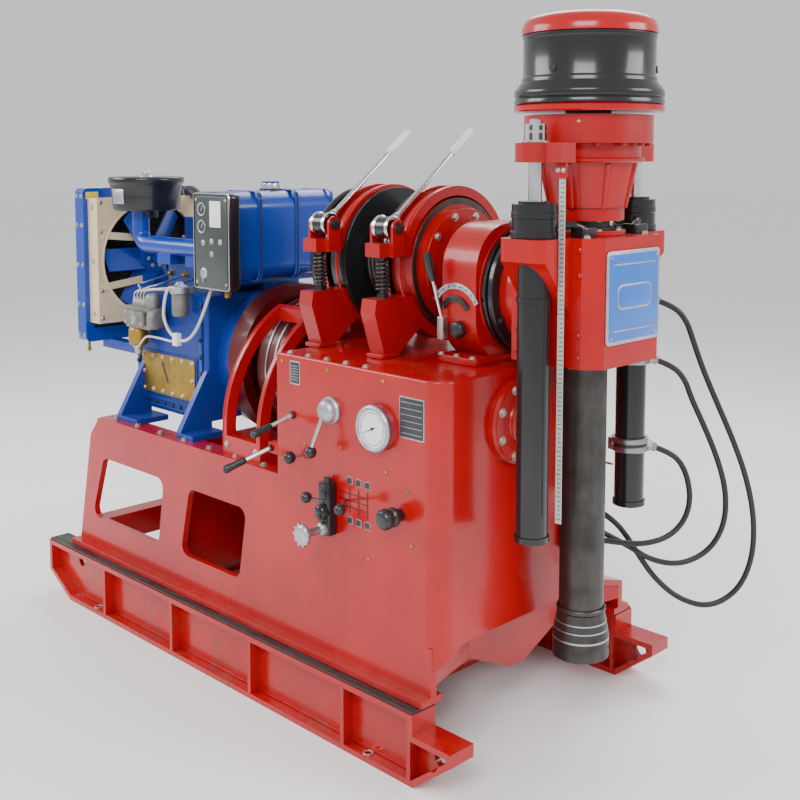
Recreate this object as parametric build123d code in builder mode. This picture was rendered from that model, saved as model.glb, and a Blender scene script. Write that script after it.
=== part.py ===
"""Skid-mounted spindle core drilling rig, as an assembly of separate solids.

Units are millimetres.  +X points forward to the spindle, +Y to the hose side, +Z up.
The origin is on the ground, at the centre of the skid's four anchor holes.
"""
import math
import os

from build123d import *

os.makedirs("parts", exist_ok=True)

# ---------------------------------------------------------------- driving sizes
# Skid: two welded I-section rails
skid_length = 1740.0
skid_half_width = 425.0
rail_width = 75.0
rail_height = 165.0
rail_flange = 14.0
rail_pocket = 30.0
rail_rib = 12.0
rib_pitch = 355.0
rib_start = -540.0
nose_length = 114.0
nose_top = 118.0
nose_tip = 30.0
heel_length = 125.0
heel_rise = 68.0
tow_hole_r = 18.0
anchor_pitch_x = 1200.0
anchor_pitch_y = 820.0
anchor_hole_r = 7.0
strip_thickness = 6.0
strip_width = 62.0

# Sliding bed that carries engine, gear housing and spindle head
slide_gap = 1.0
bed_half_width = 370.0
bed_plate = 18.0
bed_top = 590.0
bed_rear = -770.0
bed_lean = 78.0
bed_front = 761.0
bed_flange = 16.0
bed_flange_width = 65.0
window_top = 468.0
window_bottom = 272.0
window_radius = 28.0
travel_stroke = 460.0

# Gear housing with the control panel on its near side
housing_rear = 228.0
housing_front = 785.0
housing_far = 230.0
housing_bottom = 300.0
deck_top = 900.0
housing_corner = 45.0

# Spindle head
spindle_x = 895.0
swivel_z = 1070.0
head_rear = 792.0
head_front = 1020.0
head_half_width = 140.0
head_bottom = 925.0
head_top = 1210.0
head_chamfer = 36.0
ear_half_length = 62.0
ear_reach = 245.0
ear_thickness = 50.0
feed_spacing = 190.0
feed_barrel_r = 36.0
feed_bore_r = 26.0
feed_rod_r = 15.0
feed_stroke = 560.0
barrel_bottom = 537.0
swivel_ring_r = 155.0
journal_r = 100.0
running_gap = 0.06
moving_gap = 6.0

# Spindle, crosshead and chuck
spindle_r = 52.0
spindle_bore_r = 46.0
nut_r = 66.0
nut_bore_r = 48.0
nut_bottom = 220.0
nut_top = 326.0
crosshead_bottom = 1373.0
crosshead_top = 1415.0
crosshead_r = 118.0
neck_r = 145.0
neck_top = 1477.0
chuck_r = 168.0
drum_r = 150.0
chuck_top = 1656.0
cap_top = 1710.0

# Hoist on the deck
hoist_z = 1115.0
hoist_shaft_r = 32.0
band_width = 62.0
band_rear_x = 235.0
band_front_x = 465.0
band_inner_r = 172.0
band_outer_r = 186.0
band_rib_r = 196.0
brake_drum_r = 166.0
rope_drum_r = 110.0
rope_flange_r = 188.0
lever_hub_y = -216.0
lever_hub_z = 1214.0
lever_hub_r = 30.0
lever_angle = 38.0
lever_length = 385.0
pin_r = 8.0

# Pedestal that holds the swivel
pedestal_rear = 600.0
pedestal_front = 706.0
pedestal_half_width = 165.0
pedestal_top = 1228.0

# Engine
engine_rear = -600.0
engine_front = -240.0
engine_near = -250.0
engine_far = 190.0
engine_base = 622.0
block_top = 985.0
head_cover_top = 1195.0
crank_z = 790.0
bell_r = 212.0
bell_front = -190.0
crank_r = 35.0
flywheel_r = 222.0
flywheel_rear = -180.0
flywheel_front = -112.0
clutch_r = 190.0
clutch_rear = -84.0
clutch_front = 62.0
guard_r = 350.0
guard_z = 660.0
guard_rear = -30.0
guard_front = 130.0
guard_strip = 16.0

# Cooling, fuel and air
radiator_rear = -950.0
radiator_thickness = 52.0
radiator_near = -260.0
radiator_far = 180.0
radiator_bottom = 778.0
radiator_top = 1280.0
shroud_depth = 58.0
fan_y = -40.0
fan_z = 1046.0
fan_r = 175.0
fan_shaft_r = 16.0
tank_rear = -290.0
tank_front = -135.0
tank_near = -250.0
tank_far = 140.0
tank_bottom = 1030.0
tank_top = 1285.0
cleaner_x = -668.0
cleaner_y = -168.0
cleaner_r = 118.0
cleaner_bottom = 1215.0
cleaner_top = 1322.0

# Values worked out from the sizes above
skid_front = skid_length / 2
skid_rear = -skid_length / 2
rail_centre = skid_half_width - rail_width / 2
rail_inner = skid_half_width - rail_width
bed_bottom = rail_height + strip_thickness + slide_gap
nose_start = skid_front - nose_length
barrel_top = head_top + 80.0


def write(piece, node):
    """Labels a finished piece and writes it to its own file."""
    piece.label = node
    export_step(piece, f"parts/{node}.step")


# ---------------------------------------------------------------- skid
def rail(side):
    """One I-section rail with ribs, a low nose and a cut heel; side is -1 near, +1 far."""
    outer = side * skid_half_width
    inner = side * rail_inner
    rib_xs = [rib_start + rib_pitch * i for i in range(4)]
    with BuildPart() as body:
        with BuildSketch(Plane.XZ.offset(-min(outer, inner))) as outline:
            with BuildLine():
                Polyline(
                    (skid_rear, rail_height),
                    (nose_start, rail_height),
                    (nose_start, nose_top),
                    (skid_front, nose_top),
                    (skid_front, nose_top - nose_tip),
                    (nose_start, 0),
                    (skid_rear + heel_length, 0),
                    (skid_rear, heel_rise),
                    close=True,
                )
            make_face()
        extrude(amount=-rail_width)
        for plane_y, direction in ((outer, -side), (inner, side)):
            with BuildSketch(Plane.XZ.offset(-plane_y)) as pockets:
                with BuildLine():
                    Polyline(
                        (skid_rear, rail_height),
                        (nose_start, rail_height),
                        (nose_start, nose_top),
                        (skid_front, nose_top),
                        (skid_front, nose_top - nose_tip),
                        (nose_start, 0),
                        (skid_rear + heel_length, 0),
                        (skid_rear, heel_rise),
                        close=True,
                    )
                make_face()
                offset(amount=-rail_flange, kind=Kind.INTERSECTION, mode=Mode.REPLACE)
                for x in rib_xs + [nose_start - rail_rib]:
                    with Locations((x, rail_height / 2)):
                        Rectangle(rail_rib, rail_height, mode=Mode.SUBTRACT)
            extrude(amount=-direction * rail_pocket, mode=Mode.SUBTRACT)
        with Locations(Plane.XZ.offset(-side * rail_centre)):
            with Locations((nose_start + 58, 78), (skid_rear + 150, rail_height - 40)):
                Hole(tow_hole_r)
        with Locations(
            (anchor_pitch_x / 2, side * anchor_pitch_y / 2, rail_flange),
            (-anchor_pitch_x / 2, side * anchor_pitch_y / 2, rail_flange),
        ):
            Cylinder(
                anchor_hole_r,
                rail_flange * 3,
                align=(Align.CENTER, Align.CENTER, Align.CENTER),
                mode=Mode.SUBTRACT,
            )
    return body.part


write(rail(-1), "skid_rail_near")
write(rail(1), "skid_rail_far")


# Cross channels tie the rails; the rear one carries the bracket of the travel cylinder
cross_rear_x = -560.0
cross_front_x = 430.0
cross_width = 70.0
cross_height = 84.0
cross_web = 26.0
travel_z = 140.0
travel_bracket_half = 42.0
with BuildPart() as skid_cross_members:
    for x in (cross_rear_x, cross_front_x):
        with Locations((x, 0, rail_flange)):
            Box(
                cross_width,
                2 * rail_inner,
                cross_height,
                align=(Align.CENTER, Align.CENTER, Align.MIN),
            )
        for end in (-1, 1):
            with Locations((x + end * cross_width / 2, 0, rail_flange + cross_height / 2)):
                Box(
                    cross_width - cross_web,
                    2 * rail_inner - cross_web,
                    cross_height - cross_web,
                    mode=Mode.SUBTRACT,
                )
    with Locations((cross_rear_x, 0, rail_flange + cross_height)):
        Box(
            cross_width,
            2 * travel_bracket_half,
            travel_z + travel_bracket_half - rail_flange - cross_height,
            align=(Align.CENTER, Align.CENTER, Align.MIN),
        )
write(skid_cross_members.part, "skid_cross_members")

strip_inset = 3.0
with BuildPart() as slide_strips:
    for side in (-1, 1):
        with Locations(
            (
                (skid_rear + nose_start) / 2,
                side * (skid_half_width - strip_inset - strip_width / 2),
                rail_height,
            )
        ):
            Box(
                nose_start - skid_rear - 2 * strip_inset,
                strip_width,
                strip_thickness,
                align=(Align.CENTER, Align.CENTER, Align.MIN),
            )
write(slide_strips.part, "slide_strips")

# Travel cylinder: its barrel lies on the skid and its rod pulls the bed back
travel_barrel_r = 34.0
travel_barrel_wall = 9.0
travel_barrel_length = 560.0
travel_rod_r = 16.0
travel_cap = 20.0
barrel_rear_x = cross_rear_x + cross_width / 2
barrel_front_x = barrel_rear_x + travel_barrel_length
with BuildPart() as travel_barrel:
    with BuildSketch(Plane.YZ.offset(barrel_rear_x)):
        with Locations((0, travel_z)):
            Circle(travel_barrel_r)
    extrude(amount=travel_barrel_length)
    with BuildSketch(Plane.YZ.offset(barrel_rear_x + travel_cap)):
        with Locations((0, travel_z)):
            Circle(travel_barrel_r - travel_barrel_wall)
    extrude(amount=travel_barrel_length - 2 * travel_cap, mode=Mode.SUBTRACT)
    with BuildSketch(Plane.YZ.offset(barrel_front_x - travel_cap)):
        with Locations((0, travel_z)):
            Circle(travel_rod_r + running_gap)
    extrude(amount=travel_cap, mode=Mode.SUBTRACT)
write(travel_barrel.part, "travel_barrel")

travel_bracket_x = 556.0
travel_bracket_depth = 34.0
rod_engagement = 60.0
with BuildPart() as travel_rod:
    with BuildSketch(Plane.YZ.offset(barrel_front_x - rod_engagement)):
        with Locations((0, travel_z)):
            Circle(travel_rod_r)
    extrude(amount=travel_bracket_x - barrel_front_x + rod_engagement)
write(travel_rod.part, "travel_rod")


# ---------------------------------------------------------------- bed
window_slopes = (
    ((-618.0, -292.0), (-690.0, -323.0)),
    ((-164.0, 95.0), (-212.0, 60.0)),
)
far_foot_top = 258.0
far_deck_plate = 16.0
flange_out = 30.0


def bed_side(side):
    """Side plate of the bed with two leaning windows and a flange along top and foot."""
    face = side * bed_half_width
    inward = -side
    outline = [
        (bed_rear, bed_bottom),
        (bed_rear + lean_at(bed_top - 60), bed_top - 60),
        (bed_rear + bed_lean + 52, bed_top),
        (housing_rear, bed_top),
    ]
    if side < 0:
        outline += [(housing_rear, housing_bottom), (bed_front, housing_bottom)]
    else:
        outline += [(housing_rear + 190, far_foot_top), (bed_front, far_foot_top)]
    outline += [(bed_front, bed_bottom)]
    with BuildPart() as body:
        with BuildSketch(Plane.XZ.offset(-face)):
            with BuildLine():
                Polyline(*outline, close=True)
            make_face()
            for (top_rear, top_front), (low_rear, low_front) in window_slopes:
                with BuildLine():
                    FilletPolyline(
                        (low_rear, window_bottom),
                        (top_rear, window_top),
                        (top_front, window_top),
                        (low_front, window_bottom),
                        radius=window_radius,
                        close=True,
                    )
                make_face(mode=Mode.SUBTRACT)
        extrude(amount=-inward * bed_plate)
        with Locations(
            (
                (bed_rear + bed_lean + 52 + housing_rear) / 2,
                face + inward * bed_flange_width / 2,
                bed_top - bed_flange / 2,
            )
        ):
            Box(
                housing_rear - bed_rear - bed_lean - 52,
                bed_flange_width,
                bed_flange,
            )
        with Locations(
            (
                (bed_rear + bed_front) / 2,
                face - inward * flange_out + inward * bed_flange_width / 2,
                bed_bottom + bed_flange / 2,
            )
        ):
            Box(bed_front - bed_rear, bed_flange_width, bed_flange)
        if side > 0:
            with BuildSketch(Plane.YZ.offset(housing_rear + 190)):
                with BuildLine():
                    Polyline(
                        (housing_far, housing_bottom),
                        (bed_half_width, far_foot_top),
                        (bed_half_width, far_foot_top - far_deck_plate),
                        (housing_far, housing_bottom - far_deck_plate),
                        close=True,
                    )
                make_face()
            extrude(amount=bed_front - housing_rear - 190)
    return body.part


def lean_at(height):
    """How far the bed's rear edge has moved forward at a height."""
    return bed_lean * (height - bed_bottom) / (bed_top - 60 - bed_bottom)


write(bed_side(-1), "bed_side_near")
write(bed_side(1), "bed_side_far")

bed_inner = bed_half_width - bed_plate
foot_inner = bed_half_width + flange_out - bed_flange_width
floor_z = bed_bottom + bed_flange
rear_channel_x = -670.0
partition_x = -256.0
partition_thickness = 12.0
with BuildPart() as bed_cross_members:
    with Locations((rear_channel_x, 0, floor_z)):
        Box(60, 2 * bed_inner, 80, align=(Align.CENTER, Align.CENTER, Align.MIN))
    with Locations((partition_x, 0, floor_z)):
        Box(
            partition_thickness,
            2 * bed_inner,
            bed_top - bed_flange - floor_z,
            align=(Align.CENTER, Align.CENTER, Align.MIN),
        )
    with Locations((travel_bracket_x, 0, travel_z - 26)):
        Box(
            travel_bracket_depth,
            2 * foot_inner,
            128,
            align=(Align.MIN, Align.CENTER, Align.MIN),
        )
write(bed_cross_members.part, "bed_cross_members")

# Plate across the front under the housing: set back in the middle, angled out to both sides
front_plate_thickness = 20.0
front_recess = 56.0
front_bend_y = 182.0
front_edge_z = 214.0
front_bend_z = 202.0
front_belly_z = 132.0
front_belly_half = 30.0
front_slot_z = 264.0
front_slot_half = 150.0
with BuildPart() as front_cross_plate:
    with BuildSketch(Plane.XY.offset(front_belly_z)):
        with BuildLine():
            Polyline(
                (bed_front, -bed_inner),
                (bed_front - front_recess, -front_bend_y),
                (bed_front - front_recess, front_bend_y),
                (bed_front, bed_inner),
                (bed_front - front_plate_thickness, bed_inner),
                (bed_front - front_recess - front_plate_thickness, front_bend_y),
                (bed_front - front_recess - front_plate_thickness, -front_bend_y),
                (bed_front - front_plate_thickness, -bed_inner),
                close=True,
            )
        make_face()
    extrude(amount=housing_bottom - front_belly_z)
    with BuildSketch(Plane.YZ.offset(bed_front - 2 * front_recess)):
        with BuildLine():
            Polyline(
                (-bed_inner, front_edge_z),
                (-front_bend_y, front_bend_z),
                (-front_belly_half, front_belly_z),
                (front_belly_half, front_belly_z),
                (front_bend_y, front_bend_z),
                (bed_inner, front_edge_z),
                (bed_inner, 245.0),
                (housing_far, housing_bottom - far_deck_plate),
                (housing_far, housing_bottom),
                (front_slot_half + 30, housing_bottom),
                (front_slot_half, front_slot_z),
                (-front_slot_half, front_slot_z),
                (-front_slot_half - 30, housing_bottom),
                (-bed_inner, housing_bottom),
                close=True,
            )
        make_face()
    extrude(amount=3 * front_recess, mode=Mode.INTERSECT)
write(front_cross_plate.part, "front_cross_plate")


# ---------------------------------------------------------------- gear housing
shelf_depth = 62.0
shelf_half_width = 150.0
shaft_bore_depth = 30.0
arch_drop = 62.0
arch_span = 110.0
arch_end_y = arch_span - bed_half_width
skirt_angle = math.acos(1 - (housing_front - bed_front) / housing_corner)
skirt_middle = skirt_angle / 2
skirt_rear_y = housing_corner - bed_half_width - housing_corner * math.sin(skirt_angle)
with BuildPart() as gear_housing:
    with BuildSketch(Plane.XY.offset(housing_bottom)):
        with Locations(
            (
                (housing_rear + housing_front) / 2,
                (housing_far - bed_half_width) / 2,
            )
        ):
            Rectangle(housing_front - housing_rear, housing_far + bed_half_width)
    extrude(amount=deck_top - housing_bottom)
    fillet(
        gear_housing.edges().filter_by(Axis.Z).group_by(Axis.X)[-1],
        radius=housing_corner,
    )
    fillet(gear_housing.faces().sort_by(Axis.Z)[-1].edges(), radius=6)
    with Locations((housing_rear, 0, deck_top)):
        Box(
            2 * shelf_depth,
            2 * shelf_half_width,
            20,
            align=(Align.CENTER, Align.CENTER, Align.MAX),
        )
    with BuildSketch(Plane.XY.offset(housing_bottom - arch_drop)):
        with BuildLine():
            Polyline(
                (bed_front, arch_end_y),
                (bed_front, skirt_rear_y),
            )
            ThreePointArc(
                (bed_front, skirt_rear_y),
                (
                    housing_front - housing_corner * (1 - math.cos(skirt_middle)),
                    housing_corner - bed_half_width - housing_corner * math.sin(skirt_middle),
                ),
                (housing_front, housing_corner - bed_half_width),
            )
            Polyline(
                (housing_front, housing_corner - bed_half_width),
                (housing_front, arch_end_y),
                (bed_front, arch_end_y),
            )
        make_face()
    extrude(amount=arch_drop)
    with BuildSketch(Plane.YZ.offset(bed_front)):
        with BuildLine():
            Polyline(
                (arch_end_y, housing_bottom),
                (arch_end_y + 10, housing_bottom),
                (arch_end_y + 10, housing_bottom - arch_drop - 10),
                (-bed_half_width, housing_bottom - arch_drop - 10),
                (-bed_half_width, housing_bottom - arch_drop),
            )
            ThreePointArc(
                (-bed_half_width, housing_bottom - arch_drop),
                (-bed_half_width + 0.4 * arch_span, housing_bottom - 0.34 * arch_drop),
                (arch_end_y, housing_bottom),
            )
        make_face()
    extrude(amount=housing_front - bed_front + 5, mode=Mode.SUBTRACT)
    with BuildSketch(Plane.YZ.offset(housing_rear)):
        with Locations((0, crank_z)):
            Circle(crank_r + running_gap)
    extrude(amount=shaft_bore_depth, mode=Mode.SUBTRACT)
write(gear_housing.part, "gear_housing")

cover_y = -110.0
cover_z = 778.0
cover_r = 100.0
cover_thickness = 18.0
with BuildPart() as front_cover:
    with BuildSketch(Plane.YZ.offset(housing_front)):
        with Locations((cover_y, cover_z)):
            Circle(cover_r)
    extrude(amount=cover_thickness)
    chamfer(front_cover.faces().sort_by(Axis.X)[-1].edges(), length=6)
write(front_cover.part, "front_cover")

# Controls on the near side of the housing: gauge, levers, valve and its hand wheel
panel_y = -bed_half_width
gauge_x = 593.0
gauge_z = 771.0
gauge_r = 55.0
gauge_depth = 24.0
with BuildPart() as pressure_gauge:
    with BuildSketch(Plane.XZ.offset(-panel_y)):
        with Locations((gauge_x, gauge_z)):
            Circle(gauge_r)
    extrude(amount=gauge_depth)
    fillet(pressure_gauge.faces().sort_by(Axis.Y)[0].edges(), radius=5)
write(pressure_gauge.part, "pressure_gauge")

valve_x = 432.0
valve_z = 556.0
valve_width = 40.0
valve_height = 140.0
valve_depth = 46.0
wheel_z = 503.0
wheel_r = 26.0
wheel_y = -452.0
knob_x = 664.0
knob_z = 584.0
knob_r = 23.0
knob_depth = 62.0
hub_x = 431.0
hub_z = 785.0
hub_r = 34.0
hub_depth = 30.0
with BuildPart() as panel_controls:
    with Locations((valve_x, panel_y, valve_z)):
        Box(
            valve_width,
            valve_depth,
            valve_height,
            align=(Align.CENTER, Align.MAX, Align.CENTER),
        )
    with BuildSketch(Plane.XZ.offset(-panel_y + valve_depth)):
        with Locations((valve_x, wheel_z)):
            Circle(9)
    extrude(amount=-wheel_y - bed_half_width - valve_depth)
    with BuildSketch(Plane.XZ.offset(-wheel_y)):
        with Locations((valve_x, wheel_z)):
            Circle(wheel_r)
    extrude(amount=20)
    with BuildSketch(Plane.XZ.offset(-panel_y)):
        with Locations((knob_x, knob_z)):
            Circle(knob_r)
    extrude(amount=knob_depth)
    with BuildSketch(Plane.XZ.offset(-panel_y)):
        with Locations((hub_x, hub_z)):
            Circle(hub_r)
    extrude(amount=hub_depth)
write(panel_controls.part, "panel_controls")

# Two gear-shift levers that lean out and back from the panel
shift_levers = (
    ((290.0, 751.0), (262.0, 712.0)),
    ((202.0, 652.0), (144.0, 602.0)),
)
shift_reach = 108.0
shift_rod_r = 6.0
shift_grip_r = 11.0
with BuildPart() as shift_levers_node:
    for (foot_x, foot_z), (tip_x, tip_z) in shift_levers:
        foot = Vector(foot_x, panel_y, foot_z)
        tip = Vector(tip_x, panel_y - shift_reach, tip_z)
        direction = (tip - foot).normalized()
        length = (tip - foot).length
        with BuildSketch(Plane(origin=foot, z_dir=direction)):
            Circle(shift_rod_r)
        extrude(amount=length * 0.6)
        with BuildSketch(Plane(origin=foot + direction * length * 0.55, z_dir=direction)):
            Circle(shift_grip_r)
        extrude(amount=length * 0.45)
    with Locations((0, panel_y, 0)):
        Box(
            4000,
            200,
            4000,
            align=(Align.CENTER, Align.MIN, Align.CENTER),
            mode=Mode.SUBTRACT,
        )
    with Locations((shift_levers[1][0][0] - 14, panel_y, shift_levers[1][0][1])):
        Box(
            housing_rear - shift_levers[1][0][0] + 14,
            30,
            30,
            align=(Align.MIN, Align.MIN, Align.CENTER),
        )
write(shift_levers_node.part, "shift_levers")


# ---------------------------------------------------------------- engine
foot_plate = 20.0
foot_reach = 345.0
foot_pad = 16.0
foot_top = 770.0
engine_feet = ((engine_rear + 25, 110.0), (engine_front - 20, 80.0))
with BuildPart() as engine_block:
    with Locations(
        (
            (engine_rear + engine_front) / 2,
            (engine_near + engine_far) / 2,
            engine_base,
        )
    ):
        Box(
            engine_front - engine_rear,
            engine_far - engine_near,
            block_top - engine_base,
            align=(Align.CENTER, Align.CENTER, Align.MIN),
        )
    fillet(engine_block.edges().filter_by(Axis.Z), radius=14)
    with BuildSketch(Plane.YZ.offset(engine_front)):
        with Locations((0, crank_z)):
            Circle(bell_r)
    extrude(amount=bell_front - engine_front)
    with Locations(((engine_front + bell_front) / 2, 0, crank_z + bell_r - 12)):
        Box(
            bell_front - engine_front,
            400,
            100,
            align=(Align.CENTER, Align.CENTER, Align.MIN),
            mode=Mode.SUBTRACT,
        )
    for side, flank in ((-1, engine_near), (1, engine_far)):
        for foot_x, pad_length in engine_feet:
            with BuildSketch(Plane.YZ.offset(foot_x)):
                with BuildLine():
                    Polyline(
                        (flank - side * 14, foot_top),
                        (flank, foot_top),
                        (side * foot_reach, bed_top + foot_pad),
                        (side * foot_reach, bed_top),
                        (flank - side * 14, bed_top),
                        close=True,
                    )
                make_face()
            extrude(amount=foot_plate)
            with Locations((foot_x, side * foot_reach, bed_top)):
                Box(
                    pad_length,
                    abs(side * foot_reach - flank) + 14,
                    foot_pad,
                    align=(Align.MIN, Align.MIN if side < 0 else Align.MAX, Align.MIN),
                )
    with BuildSketch(Plane.YZ.offset(bell_front)):
        with Locations((0, crank_z)):
            Circle(crank_r + running_gap)
    extrude(amount=-40, mode=Mode.SUBTRACT)
write(engine_block.part, "engine_block")

head_rear_x = -590.0
head_front_x = -300.0
head_half = 150.0
rocker_base = 1125.0
pump_r = 46.0
pump_rear = -650.0
with BuildPart() as engine_head:
    with Locations(((head_rear_x + head_front_x) / 2, 0, block_top)):
        Box(
            head_front_x - head_rear_x,
            2 * head_half,
            rocker_base - block_top,
            align=(Align.CENTER, Align.CENTER, Align.MIN),
        )
    with Locations(((head_rear_x + head_front_x) / 2, 0, rocker_base)):
        Box(
            head_front_x - head_rear_x - 24,
            2 * head_half - 110,
            head_cover_top - rocker_base,
            align=(Align.CENTER, Align.CENTER, Align.MIN),
        )
    fillet(engine_head.edges().filter_by(Axis.Z), radius=12)
    with BuildSketch(Plane.YZ.offset(pump_rear)):
        with Locations((fan_y, fan_z)):
            Circle(pump_r)
    extrude(amount=head_rear_x - pump_rear)
    with BuildSketch(Plane.YZ.offset(pump_rear)):
        with Locations((fan_y, fan_z)):
            Circle(fan_shaft_r + running_gap)
    extrude(amount=36, mode=Mode.SUBTRACT)
write(engine_head.part, "engine_head")

pump_x = -500.0
pump_z = 905.0
pump_reach = 74.0
with BuildPart() as injection_pump:
    with Locations((pump_x, engine_near, pump_z)):
        Box(150, pump_reach, 70, align=(Align.CENTER, Align.MAX, Align.CENTER))
    with Locations((pump_x - 40, engine_near - pump_reach / 2, pump_z - 60)):
        Cylinder(30, 60)
    with Locations((pump_x + 40, engine_near - pump_reach / 2, pump_z + 50)):
        Cylinder(22, 60)
write(injection_pump.part, "injection_pump")

pipe_r = 27.0
pipe_z = 1112.0
pipe_y = -190.0
pipe_front = -345.0
with BuildPart() as intake_pipe:
    with BuildLine() as pipe_route:
        FilletPolyline(
            (cleaner_x, pipe_y, cleaner_bottom),
            (cleaner_x, pipe_y, pipe_z),
            (pipe_front, pipe_y, pipe_z),
            radius=40,
        )
    with BuildSketch(Plane.XY.offset(cleaner_bottom)):
        with Locations((cleaner_x, pipe_y)):
            Circle(pipe_r)
    sweep(path=pipe_route.wires()[0])
    for flange_x in (-530.0, -380.0):
        with Locations((flange_x, -head_half, pipe_z - 26)):
            Box(70, 50, 60, align=(Align.CENTER, Align.MAX, Align.CENTER))
write(intake_pipe.part, "intake_pipe")

with BuildPart() as air_cleaner:
    with BuildSketch(Plane.XY.offset(cleaner_bottom)):
        with Locations((cleaner_x, pipe_y)):
            Circle(cleaner_r - 14)
    with BuildSketch(Plane.XY.offset(cleaner_top - 12)):
        with Locations((cleaner_x, pipe_y)):
            Circle(cleaner_r)
    loft()
    with BuildSketch(Plane.XY.offset(cleaner_top - 12)):
        with Locations((cleaner_x, pipe_y)):
            Circle(cleaner_r)
    extrude(amount=12)
    with BuildSketch(Plane.XY.offset(cleaner_top)):
        with Locations((cleaner_x, pipe_y)):
            Circle(12)
    extrude(amount=20)
write(air_cleaner.part, "air_cleaner")

# Radiator on two arms from the block, and the shroud round its fan
core_recess = 8.0
core_border = 30.0
radiator_front = radiator_rear + radiator_thickness
radiator_mid = (radiator_near + radiator_far) / 2
with BuildPart() as radiator:
    with Locations((radiator_rear, radiator_mid, radiator_bottom)):
        Box(
            radiator_thickness,
            radiator_far - radiator_near,
            radiator_top - radiator_bottom,
            align=(Align.MIN, Align.CENTER, Align.MIN),
        )
    fillet(radiator.edges().filter_by(Axis.X), radius=18)
    for face_x in (radiator_rear, radiator_front):
        with Locations((face_x, radiator_mid, (radiator_bottom + radiator_top) / 2)):
            Box(
                2 * core_recess,
                radiator_far - radiator_near - 2 * core_border,
                radiator_top - radiator_bottom - 3 * core_border,
                mode=Mode.SUBTRACT,
            )
    for arm_y in (radiator_mid - 110, radiator_mid + 110):
        with Locations((radiator_rear, arm_y, radiator_bottom)):
            Box(
                engine_rear - radiator_rear,
                40,
                30,
                align=(Align.MIN, Align.CENTER, Align.MAX),
            )
write(radiator.part, "radiator")

shroud_wall = 5.0
shroud_border = 16.0
shroud_top = fan_z + fan_r + 28
shroud_bottom = fan_z - fan_r - 28
shroud_near = radiator_near + shroud_border
shroud_far = radiator_far - shroud_border
shroud_front = radiator_front + shroud_depth
with BuildPart() as fan_shroud:
    with Locations((radiator_front, (shroud_near + shroud_far) / 2, (shroud_top + shroud_bottom) / 2)):
        Box(
            shroud_depth,
            shroud_far - shroud_near,
            shroud_top - shroud_bottom,
            align=(Align.MIN, Align.CENTER, Align.CENTER),
        )
        Box(
            2 * (shroud_depth - shroud_wall),
            shroud_far - shroud_near - 2 * shroud_wall,
            shroud_top - shroud_bottom - 2 * shroud_wall,
            mode=Mode.SUBTRACT,
        )
    with BuildSketch(Plane.YZ.offset(shroud_front)):
        with Locations((fan_y, fan_z)):
            Circle(fan_r + 10)
    extrude(amount=-shroud_wall, mode=Mode.SUBTRACT)
write(fan_shroud.part, "fan_shroud")

fan_rear = shroud_front - 26.0
blade_count = 6
blade_pitch = 28.0
fan_hub_r = 46.0
with BuildPart() as fan:
    with BuildSketch(Plane.YZ.offset(fan_rear)):
        with Locations((fan_y, fan_z)):
            Circle(fan_hub_r)
    extrude(amount=44)
    for i in range(blade_count):
        turn = Location((fan_rear + 22, fan_y, fan_z), (360 / blade_count * i, 0, 0))
        lean = Location((0, (fan_hub_r + fan_r) / 2 - 6, 0), (0, blade_pitch, 0))
        with Locations(turn * lean):
            Box(5, fan_r - fan_hub_r + 12, 78)
    with BuildSketch(Plane.YZ.offset(fan_rear)):
        with Locations((fan_y, fan_z)):
            Circle(fan_r + 60)
            Circle(fan_r, mode=Mode.SUBTRACT)
    extrude(amount=80, both=True, mode=Mode.SUBTRACT)
    with BuildSketch(Plane.YZ.offset(fan_rear)):
        with Locations((fan_y, fan_z)):
            Circle(fan_shaft_r)
    extrude(amount=pump_rear + 30 - fan_rear)
    with BuildSketch(Plane.YZ.offset(pump_rear - 46)):
        with Locations((fan_y, fan_z)):
            Circle(62)
    extrude(amount=28)
write(fan.part, "fan")

# Fuel tank on a saddle above the bell, with its filler cap
tank_corner = 50.0
saddle_thickness = 12.0
bell_flat = crank_z + bell_r - 12
with BuildPart() as fuel_tank:
    with Locations(((tank_rear + tank_front) / 2, (tank_near + tank_far) / 2, tank_bottom)):
        Box(
            tank_front - tank_rear,
            tank_far - tank_near,
            tank_top - tank_bottom,
            align=(Align.CENTER, Align.CENTER, Align.MIN),
        )
    fillet(fuel_tank.edges().filter_by(Axis.Y), radius=tank_corner)
    with Locations(((tank_rear + tank_front) / 2, (tank_near + tank_far) / 2, tank_bottom + 2)):
        Box(
            tank_front - tank_rear - 2 * tank_corner,
            tank_far - tank_near - 60,
            saddle_thickness + 2,
            align=(Align.CENTER, Align.CENTER, Align.MAX),
        )
    with Locations(((engine_front + bell_front) / 2, 0, bell_flat)):
        Box(
            bell_front - engine_front - 6,
            90,
            tank_bottom - bell_flat - saddle_thickness + 2,
            align=(Align.CENTER, Align.CENTER, Align.MIN),
        )
    with Locations(((tank_rear + tank_front) / 2, (tank_near + tank_far) / 2 + 20, tank_top)):
        Cylinder(26, 26, align=(Align.CENTER, Align.CENTER, Align.MIN))
write(fuel_tank.part, "fuel_tank")

instrument_depth = 42.0
instrument_x = tank_front - 22.5
with BuildPart() as instrument_box:
    with Locations((instrument_x, tank_near, (tank_bottom + tank_top) / 2 - 8)):
        Box(
            tank_front - tank_rear + 14,
            instrument_depth,
            tank_top - tank_bottom + 14,
            align=(Align.CENTER, Align.MAX, Align.CENTER),
        )
    fillet(instrument_box.edges().filter_by(Axis.Y), radius=14)
write(instrument_box.part, "instrument_box")

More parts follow.
